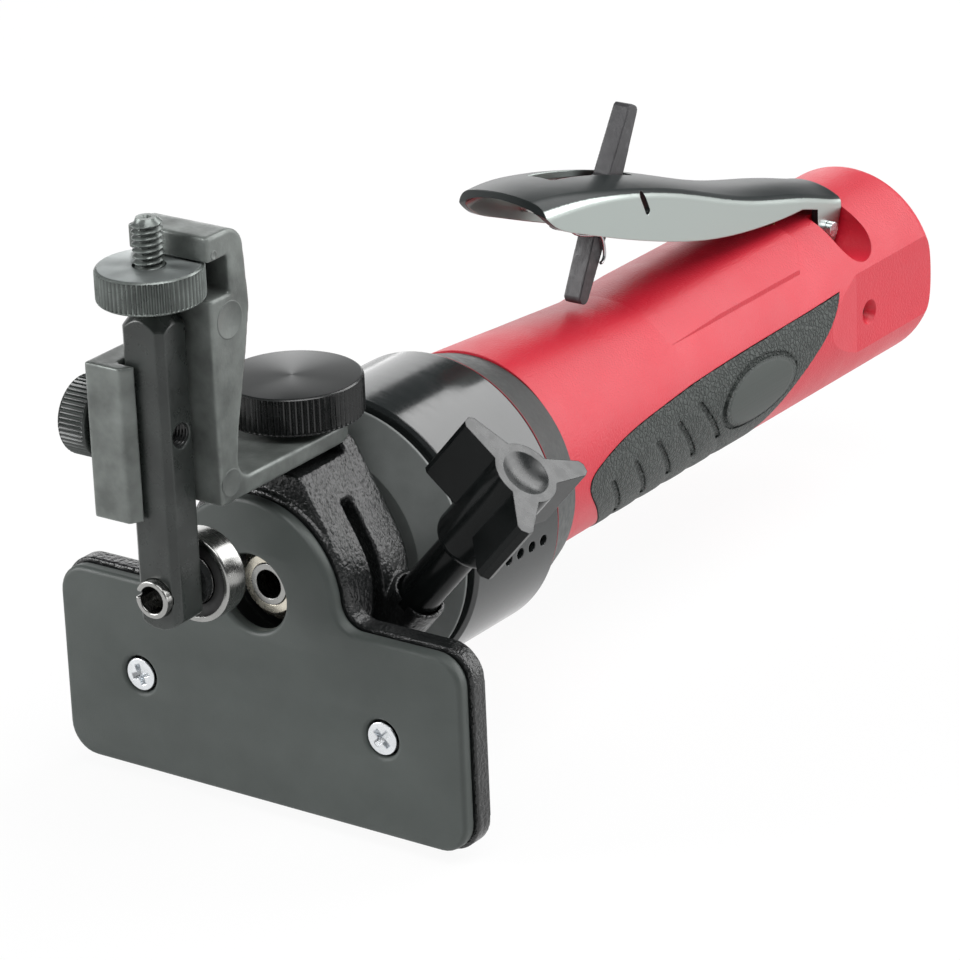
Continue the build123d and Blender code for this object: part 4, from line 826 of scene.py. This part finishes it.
def badge_oval(tree, spot):
    """White on the badge and black outside its oval."""
    oval = tree.nodes.new("ShaderNodeMapping")
    oval.vector_type = "TEXTURE"
    oval.inputs["Location"].default_value = (0, (BADGE_Y + FACE_Y) * MM, BADGE_Z * MM)
    oval.inputs["Scale"].default_value = (BADGE_THROUGH * MM, BADGE_LENGTH / 2 * MM, BADGE_WIDTH / 2 * MM)
    tree.links.new(spot, oval.inputs["Vector"])
    reach = tree.nodes.new("ShaderNodeVectorMath")
    reach.operation = "LENGTH"
    tree.links.new(oval.outputs["Vector"], reach.inputs[0])
    return ramp(tree, reach.outputs["Value"], BADGE_LIMITS, WHITE, BLACK)


def leather_rubber():
    """Moulded rubber with a leather grain, cells between fine creases that are painted darker as shade,
    that leaves the badge smooth.
    """
    look, tree, bsdf = shader("grip_rubber")
    scale, depth, strength = LEATHER_GRAIN
    spot = tree.nodes.new("ShaderNodeTexCoord").outputs["Object"]
    swirl = tree.nodes.new("ShaderNodeTexNoise")
    swirl.inputs["Scale"].default_value = LEATHER_SWIRL
    tree.links.new(spot, swirl.inputs["Vector"])
    cells = tree.nodes.new("ShaderNodeTexVoronoi")
    cells.feature = "DISTANCE_TO_EDGE"
    cells.inputs["Scale"].default_value = scale
    warped = mixed(tree, "VECTOR", LEATHER_WARP, spot, swirl.outputs["Color"])
    tree.links.new(warped, cells.inputs["Vector"])
    # Painted shade: the creases are coloured darker than the cells.
    creases = ramp(tree, cells.outputs["Distance"], CREASE_LIMITS, BLACK, WHITE)
    height = maths(tree, "MAXIMUM", creases, badge_oval(tree, spot))
    tree.links.new(ramp(tree, height, RUBBER_LIMITS, *RUBBER_SHADES), bsdf.inputs["Base Color"])
    bsdf.inputs["Roughness"].default_value = RUBBER_ROUGH
    coarse = bump(tree, bsdf, height, depth, strength)
    fine_scale, fine_depth, fine_strength = RUBBER_GRAIN
    bump(tree, bsdf, noise(tree, fine_scale, GRAIN_DETAIL), fine_depth, fine_strength, coarse)
    return look


def spun(name, dark, light, metal, rough):
    """Turned metal whose fine circles draw the light into a cross."""
    look, tree, bsdf = shader(name)
    clouds = noise(tree, SPUN_CLOUDS)
    tree.links.new(ramp(tree, clouds, CLOUD_LIMITS, dark, light), bsdf.inputs["Base Color"])
    bsdf.inputs["Metallic"].default_value = metal
    bsdf.inputs["Roughness"].default_value = rough
    bsdf.inputs["Anisotropic"].default_value = SPUN_ANISOTROPY
    tangent = tree.nodes.new("ShaderNodeTangent")
    tangent.direction_type = "RADIAL"
    tangent.axis = "Z"
    tree.links.new(tangent.outputs["Tangent"], bsdf.inputs["Tangent"])
    return look


def lever_steel():
    """Pressed steel, dark on top and pale metal on its sides and underneath, chosen by which way each face
    looks: painted shade on top and a painted reflection on the sides, partly real as the pale metal
    reflects too.
    """
    look, tree, bsdf = shader("lever_steel")
    facing_out = sideways(tree)
    # Painted shade and painted reflection: the colour, gloss and metal change with which way the surface
    # faces.
    tree.links.new(ramp(tree, facing_out, LEVER_LIMITS, *LEVER_SHADED_TOP_LIT_SIDES), bsdf.inputs["Base Color"])
    for socket, levels in (("Metallic", LEVER_METAL), ("Roughness", LEVER_ROUGH)):
        tree.links.new(ramp(tree, facing_out, LEVER_LIMITS, *map(grey, levels)), bsdf.inputs[socket])
    bsdf.inputs["Specular IOR Level"].default_value = LEVER_SPECULAR
    under = soft_edge(tree, bsdf, LEVER_EDGE)
    scale, depth, strength = LEVER_GRAIN
    bump(tree, bsdf, noise(tree, scale, GRAIN_DETAIL, GRAIN_ROUGH), depth, strength, under)
    return look


FINISH = {name: finish(name, **look) for name, look in LOOKS.items()}
FINISH.update({name: spun(name, **look) for name, look in SPUN_LOOKS.items()})
FINISH["wrinkle_paint"] = wrinkle_paint()
FINISH["grip_rubber"] = leather_rubber()
FINISH["lever_steel"] = lever_steel()

# Every CAD node takes its slot's finish, and the nose one of its own
record = frame["record"]
body_of = {node: body for body, members in record["behaviour"]["bodies"].items() for node in members}
slot_of = {row["node"]: row["material_slot"] for row in record["subparts"]}
for node, piece in nodes.items():
    piece.data.materials.clear()
    piece.data.materials.append(FINISH["cone_grey" if node == "nose_cap" else slot_of[node]])


def stand_for(piece, node, look=None):
    """A piece stands for a CAD node, which is hidden: it goes on the node's body, with the node's slot's
    finish or another.
    """
    return place(piece, body_of[node], FINISH[look or slot_of[node]], (node,))


def add_to(piece, node, look=None):
    """A piece is added to a CAD node and moves with it."""
    return place(piece, body_of[node], FINISH[look or slot_of[node]])


# Sole and its screws

def sole_outline():
    """The tee of the sole: half of it by arcs, and its mirror image."""
    inner = SOLE_HALF - SOLE_CORNER_R
    bend_z = SOLE_SHOULDER + LOBE_FILLET
    bend_x = math.sqrt((LOBE_R + LOBE_FILLET) ** 2 - bend_z**2)
    lift_deg = math.degrees(math.atan2(bend_z, bend_x))
    right = arc(inner, SOLE_BOTTOM + SOLE_CORNER_R, SOLE_CORNER_R, -90, 0)
    right += arc(inner, SOLE_SHOULDER - SOLE_CORNER_R, SOLE_CORNER_R, 0, 90)
    right += arc(bend_x, bend_z, LOBE_FILLET, -90, -180 + lift_deg)
    right += arc(0, 0, LOBE_R, lift_deg, 90, LOBE_STEPS)[1:]
    left = [(-x, z) for x, z in reversed(right[:-1])]
    return right + left


def make_sole():
    loops = [sole_outline(), circle(0, 0, SOLE_HOLE_R, steps=96)]
    loops += [circle(x, z, SCREW_HEAD_R + SCREW_HOLLOW) for x, z in SCREW_SPOTS]
    stand_for(plate("sole", loops, FACE_Y, FACE_Y + SOLE_T, SOLE_EDGE), "sub_base")


def recess_blade(x, front, z, turn_deg):
    """A tapered bar through a screw head, one of the two that cut its cross recess."""
    turn = Matrix.Rotation(math.radians(turn_deg), 2)
    points = []
    for depth, share in ((-RECESS_OVER, RECESS_MOUTH_SHARE), (RECESS_DEPTH, RECESS_FLOOR_SHARE)):
        for u, v in ((-1, -1), (1, -1), (1, 1), (-1, 1)):
            spot = turn @ Vector((u * RECESS_REACH * share, v * RECESS_HALF * (0.5 + share / 2)))
            points.append((x + spot.x, front + depth, z + spot.y))
    sides = [(k, k + 4, (k + 1) % 4 + 4, (k + 1) % 4) for k in range(4)]
    mesh = mesh_of("blade", points, [(0, 1, 2, 3), (7, 6, 5, 4)] + sides)
    clean(mesh)
    return link("blade", mesh)


def make_sole_screws():
    """Flat heads with a cross recess, each in a small hollow of the sole."""
    front = FACE_Y + SCREW_SINK
    back = front + SCREW_HEAD_H
    profile = rounded([(0, front), (SCREW_HEAD_R, front + SCREW_DOME), (SCREW_HEAD_R, front + SCREW_LAND),
                       (SCREW_HEAD_R * SCREW_NECK_SHARE, back), (0, back)], SCREW_ROUND)
    group = []
    for number, (x, z) in enumerate(SCREW_SPOTS):
        head = lathe(f"screw_head_{number}", profile, "y", (x, 0, z), steps=64)
        turn_deg = SCREW_TURN_DEG + SCREW_TURN_STEP_DEG * number
        for across_deg in (0, 90):
            cut(head, recess_blade(x, front, z, turn_deg + across_deg))
        group.append(head)
    stand_for(joined("sole_screws", group), "sub_base_screws")


# Knurled wheel and knobs

def knob_profile(radius, low, high, edge, bore=0.0):
    return rounded([(bore, low), (radius - edge, low), (radius, low + edge), (radius, high - edge),
                    (radius - edge, high), (bore, high)], KNOB_ROUND, steps=2)


def turned_face(piece, height, look):
    """Give the flat top of a turned piece a finish of its own."""
    piece.data.materials.append(FINISH[look])
    for face in piece.data.polygons:
        on_top = face.center.z > (height - TOP_SLACK) * MM
        face.material_index = int(face.normal.z > TOP_COSINE and on_top)


def make_wheel():
    profile = knob_profile(WHEEL_R, WHEEL_BOTTOM, WHEEL_TOP, WHEEL_EDGE, STUD_R + WHEEL_BORE_GAP)
    profile.append(profile[0])
    wheel = knurled("knurled_wheel", profile, "z", (0, BAR_Y, 0), WHEEL_R, WHEEL_KNURLS, WHEEL_KNURL_DEPTH)
    stand_for(wheel, "adjusting_wheel", "wheel_steel")
    turned_face(wheel, WHEEL_TOP, "spun_steel")


def make_bracket_knob():
    seat = FOOT_TOP + BIG_KNOB_GAP
    hub = [(0, seat), (BIG_KNOB_HUB_R, seat), (BIG_KNOB_HUB_R, BIG_KNOB_BOTTOM)]
    body = knob_profile(BIG_KNOB_R, BIG_KNOB_BOTTOM, BIG_KNOB_TOP, BIG_KNOB_EDGE)[1:]
    knob = knurled("knurled_knob", hub + body, "z", (0, BIG_KNOB_Y, 0), BIG_KNOB_R, BIG_KNOB_KNURLS,
                   BIG_KNOB_KNURL_DEPTH)
    stand_for(knob, "bracket_knob")
    turned_face(knob, BIG_KNOB_TOP, "spun_black")


def make_lock_knob():
    body = knob_profile(LOCK_KNOB_R, LOCK_KNOB_OUT, LOCK_KNOB_IN, LOCK_KNOB_EDGE)[:-1]
    hub = [(LOCK_KNOB_HUB_R, LOCK_KNOB_IN), (LOCK_KNOB_HUB_R, LOCK_KNOB_SEAT), (0, LOCK_KNOB_SEAT)]
    knob = knurled("knurled_lock_knob", body + hub, "x", (0, BAR_Y, CROSS_HOLE_Z), LOCK_KNOB_R,
                   LOCK_KNOB_KNURLS, LOCK_KNOB_KNURL_DEPTH)
    stand_for(knob, "guide_lock_knob", "bar_steel")


# Guide bar with its threads, bracket and roller

def make_guide_bar():
    stand_for(softened("bar", "guide_bar", above=BAR_TOP), "guide_bar")
    foot = BAR_TOP - STUD_FOOT
    profile = [(0, foot), (STUD_R - STUD_FOOT_IN, foot)]
    profile += straight_side(STUD_R, BAR_TOP, STUD_TOP - STUD_CHAMFER, STUD_ROWS)
    profile += [(STUD_R - STUD_CHAMFER_IN, STUD_TOP), (DIMPLE_R, STUD_TOP)]
    profile += [(DIMPLE_FLOOR_R, STUD_TOP - DIMPLE_WALL), (0, STUD_TOP - DIMPLE_DEPTH)]
    stud = lathe("stud_thread", profile, "z", (0, BAR_Y, 0), steps=72,
                 shape=thread(STUD_PITCH, STUD_DEPTH, STUD_R, BAR_TOP))
    add_to(stud, "guide_bar", "wheel_steel")
    hole = tapped("cross_hole_thread", "x", (0, BAR_Y, CROSS_HOLE_Z), CROSS_HOLE_R, CROSS_START,
                  BAR_HALF_X - CROSS_END_GAP, CROSS_PITCH, CROSS_DEPTH, steps=64)
    add_to(hole, "guide_bar", "black_oxide_steel")


def make_bracket():
    """The bracket, and the round marks that ejector pins leave on its face."""
    stand_for(softened("bracket", "guide_bracket"), "guide_bracket")
    floor = MARK_PROUD * MARK_FLOOR_SHARE
    for number, (y, z, radius) in enumerate(EJECTOR_MARKS):
        profile = [(0, -MARK_SUNK), (radius, -MARK_SUNK), (radius, MARK_PROUD * MARK_FLANK_SHARE),
                   (radius - MARK_CREST_OUT, MARK_PROUD), (radius - MARK_CREST_IN, MARK_PROUD),
                   (radius - MARK_FLOOR_IN, floor), (0, floor)]
        mark = lathe(f"ejector_mark_{number}", profile, "x", (BRACKET_FACE_X, y, z), steps=64)
        add_to(mark, "guide_bracket", "cast_flat")


def make_roller():
    """The bearing's outer race, its two stepped seals and the slotted pin."""
    centre = (0, 0, ROLLER_Z)
    inner = ROLLER_R - ROLLER_RIM
    front, back = ROLLER_FRONT + ROLLER_SIDE_GAP, ROLLER_BACK - ROLLER_SIDE_GAP
    loop = [(inner, front), (ROLLER_R, front), (ROLLER_R, back), (inner, back), (inner, front)]
    race = lathe("roller_race", rounded(loop, ROLLER_ROUND), "y", centre, steps=160)
    stand_for(race, "roller_outer_race")
    bore, rim = INNER_RACE_R + SEAL_BORE_GAP, inner - SEAL_FIT
    seals = []
    for face, turn in ((ROLLER_FRONT + SEAL_INSET, 1), (ROLLER_BACK - SEAL_INSET, -1)):
        step, rear = face + SEAL_STEP * turn, face + SEAL_T * turn
        ring = [(bore, face), (inner - SEAL_FLAT_IN, face), (inner - SEAL_STEP_IN, step), (rim, step),
                (rim, rear), (bore, rear), (bore, face)]
        seals.append(lathe(f"seal_{len(seals)}", ring, "y", centre, steps=96))
    stand_for(joined("seals", seals), "roller_seals")
    stand_for(softened("spring_pin", "roller_pin"), "roller_pin")


# Cast, moulded and pressed pieces, with the edges that their making leaves

def make_casting():
    stand_for(thinned(softened("casting", "base_casting"), CASTING_TRIANGLES), "base_casting")


def make_lock():
    """The lock, a hair smaller about its pin than its solid, so that it clears the end of its slot."""
    lock = thinned(softened("lock", "lock_lever"), LOCK_TRIANGLES)
    pin = Vector((0, FACE_Y + LOCK_Y, LOCK_Z)) * MM
    for vertex in lock.data.vertices:
        vertex.co = pin + (vertex.co - pin) * LOCK_SHARE
    stand_for(lock, "lock_lever")


def make_star_knob():
    """A copy of the moulded knob, with a satin face on glossy flanks."""
    knob = link("star_knob", nodes["clamp_knob"].data.copy())
    stand_for(knob, "clamp_knob")
    knob.data.materials.append(FINISH["star_face"])
    tilt = math.radians(CLAMP_TILT_DEG)
    axis = Vector((math.sin(tilt), 0, math.cos(tilt)))
    for face in knob.data.polygons:
        face.material_index = int(face.normal.dot(axis) > STAR_FACE_COSINE)


def fetched(mesh, what):
    """The places or normals of a mesh's vertices, a row for each."""
    values = np.empty(len(mesh.vertices) * 3)
    mesh.vertices.foreach_get(what, values)
    return values.reshape(-1, 3)


def make_grip():
    """The rubber, pressed in along its folds so that it swells between them, and drawn in at its rim."""
    grip = softened("grip", "grip_insert")
    spots, normals = fetched(grip.data, "co"), fetched(grip.data, "normal")
    y, z = spots[:, 1] / MM - FACE_Y, spots[:, 2] / MM
    press = np.zeros(len(spots))
    for number in range(FOLD_COUNT):
        high = FOLD_TOP_Z + FOLD_CLIMB * number
        line = FOLD_FIRST + FOLD_W / 2 + FOLD_PITCH * number + (high - z) * FOLD_LEAN / FOLD_LENGTH
        fade = np.clip((high + FOLD_FADE_ABOVE - z) / FOLD_FADE, 0, 1)
        near = np.clip(1 - np.abs(y - line) / (FOLD_PITCH * FOLD_REACH), 0, 1)
        press = np.maximum(press, near**2 * fade)
    spots[:, 0] -= np.sign(spots[:, 0]) * FOLD_PRESS * press * MM
    outward = spots * (1, 0, 1)
    outward /= np.linalg.norm(outward, axis=1)[:, None]
    rim = np.abs((normals * outward).sum(axis=1)) < RIM_COSINE
    spots[rim] -= normals[rim] * RIM_GAP * MM
    grip.data.vertices.foreach_set("co", spots.ravel())
    grip.data.update()
    stand_for(thinned(grip, GRIP_TRIANGLES), "grip_insert")


# Wound springs

def make_lock_spring():
    """The lock's wound spring: its lead, its coils beside the hub and its hooked end."""
    pitch = LOCK_WIRE + LOCK_COIL_GAP
    y0 = FACE_Y + LOCK_Y
    far = LOCK_COIL_START + pitch * LOCK_TURNS
    points = []
    for (across, up, along), (run, lift, lead) in coil_points(LOCK_TURNS, LOCK_COIL_R, -pitch, math.pi):
        spot = Vector((far + along, y0 + across, LOCK_Z + up))
        points.append((spot, Vector((lead, run, lift)).normalized()))
    first, heading = points[0]
    points.insert(0, (first - heading * LOCK_SPRING_LEAD, heading))
    x = points[-1][0].x - pitch * LOCK_HOOK_SHARE
    for behind, above, dy, dz in LOCK_HOOK:
        points.append((Vector((x, y0 + behind, LOCK_Z + above)), Vector((0, dy, dz)).normalized()))
    stand_for(wire("lock_wire", points, LOCK_WIRE), "lock_spring")


def make_valve_spring():
    """The valve's wound spring, from the foot to the top of the CAD solid that it stands for."""
    solid = nodes["valve_spring"]
    corners = (solid.bound_box[0], solid.bound_box[6])
    low, high = ((solid.matrix_world @ Vector(corner)).z / MM for corner in corners)
    y0 = FACE_Y + VALVE_Y
    foot = low + VALVE_WIRE / 2
    rise = (high - low - VALVE_WIRE) / VALVE_TURNS
    points = []
    for (across, back, up), heading in coil_points(VALVE_TURNS, VALVE_COIL_R, rise, 0.0):
        points.append((Vector((across, y0 + back, foot + up)), Vector(heading).normalized()))
    coil = stand_for(wire("valve_wire", points, VALVE_WIRE), "valve_spring")
    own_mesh(coil)


# Red line behind the housing and thread of the air inlet

def make_seam():
    """A thin red line between the housing and the ring."""
    inner, outer = RING_FRONT_R - SEAM_SUNK, HOUSING_R - SEAM_STEP
    rear = RING_FRONT + SEAM_W
    loop = [(inner, RING_FRONT), (outer, RING_FRONT), (outer, rear), (inner, rear), (inner, RING_FRONT)]
    seam = lathe("seam", rounded(loop, SEAM_ROUND, steps=2), "y", (0, FACE_Y, 0), steps=192)
    add_to(seam, "collar_ring", "seam_red")


def make_inlet_thread():
    ring = tapped("inlet_thread", "y", (0, 0, 0), INLET_R, INLET_REAR - INLET_LENGTH,
                  INLET_REAR - INLET_END_GAP, INLET_PITCH, INLET_DEPTH, steps=96)
    add_to(ring, "inlet_bushing")


# Stage: pale floor, sky, soft boxes of light and the camera

def make_floor():
    """A floor that takes the part's shadow, and that shows pale to the camera and in reflections."""
    low = cad_box[0][2] / MM - FLOOR_GAP
    floor = lathe("floor", [(0, low), (FLOOR_R, low), (FLOOR_R, low + FLOOR_RIM)], "z", (0, 0, 0))
    look, tree, bsdf = shader("floor")
    bsdf.inputs["Base Color"].default_value = (*grey(FLOOR_GREY), 1)
    bsdf.inputs["Roughness"].default_value = FLOOR_ROUGH
    glow = tree.nodes.new("ShaderNodeEmission")
    rays = tree.nodes.new("ShaderNodeLightPath")
    seen = maths(tree, "MAXIMUM", rays.outputs["Is Camera Ray"], rays.outputs["Is Glossy Ray"])
    seen = maths(tree, "MAXIMUM", seen, rays.outputs["Is Transmission Ray"])
    mix = tree.nodes.new("ShaderNodeMixShader")
    tree.links.new(maths(tree, "MULTIPLY", seen, FLOOR_GLOW), mix.inputs["Fac"])
    tree.links.new(bsdf.outputs["BSDF"], mix.inputs[1])
    tree.links.new(glow.outputs["Emission"], mix.inputs[2])
    tree.links.new(mix.outputs["Shader"], tree.nodes["Material Output"].inputs["Surface"])
    floor.data.materials.append(look)


def make_sky():
    world = bpy.data.worlds.new("studio")
    world.use_nodes = True
    world.node_tree.nodes["Background"].inputs["Color"].default_value = (*SKY_COLOUR, 1)
    world.node_tree.nodes["Background"].inputs["Strength"].default_value = SKY_STRENGTH
    bpy.context.scene.world = world


def facing(right, up, back, spot):
    """The place of a lamp or camera from its own three directions."""
    return Matrix((*zip(right, up, back, spot), (0, 0, 0, 1)))


def soft_box(name, direction, distance, across, width, height, power):
    """A rectangular lamp that faces the part from a direction, with its width along another."""
    lamp = bpy.data.lights.new(name, "AREA")
    lamp.shape = "RECTANGLE"
    lamp.size, lamp.size_y, lamp.energy = width, height, power
    back = Vector(direction).normalized()
    spot = Vector(VIEW_TARGET) * MM + back * distance
    right = (Vector(across) - back * back.dot(Vector(across))).normalized()
    link(name, lamp).matrix_world = facing(right, back.cross(right), back, spot)


def make_camera():
    azimuth, elevation, roll = map(math.radians, (VIEW_AZIMUTH_DEG, VIEW_ELEVATION_DEG, VIEW_ROLL_DEG))
    back = Vector((math.sin(azimuth) * math.cos(elevation), -math.cos(azimuth) * math.cos(elevation),
                   math.sin(elevation)))
    level = Vector((math.cos(azimuth), math.sin(azimuth), 0))
    over = back.cross(level)
    right = level * math.cos(roll) + over * math.sin(roll)
    up = over * math.cos(roll) - level * math.sin(roll)
    lens = bpy.data.cameras.new("camera")
    lens.sensor_width, lens.lens = SENSOR, LENS
    camera = link("camera", lens)
    camera.matrix_world = facing(right, up, back, (Vector(VIEW_TARGET) + back * VIEW_DISTANCE) * MM)
    bpy.context.scene.camera = camera


make_sole()
make_sole_screws()
make_wheel()
make_bracket_knob()
make_lock_knob()
make_guide_bar()
make_bracket()
make_roller()
make_casting()
make_lock()
make_star_knob()
make_grip()
make_lock_spring()
make_valve_spring()
make_seam()
make_inlet_thread()
make_floor()
make_sky()
for name, lamp in LAMPS.items():
    soft_box(name, *lamp)
make_camera()
bpy.context.scene.view_settings.view_transform = "Standard"
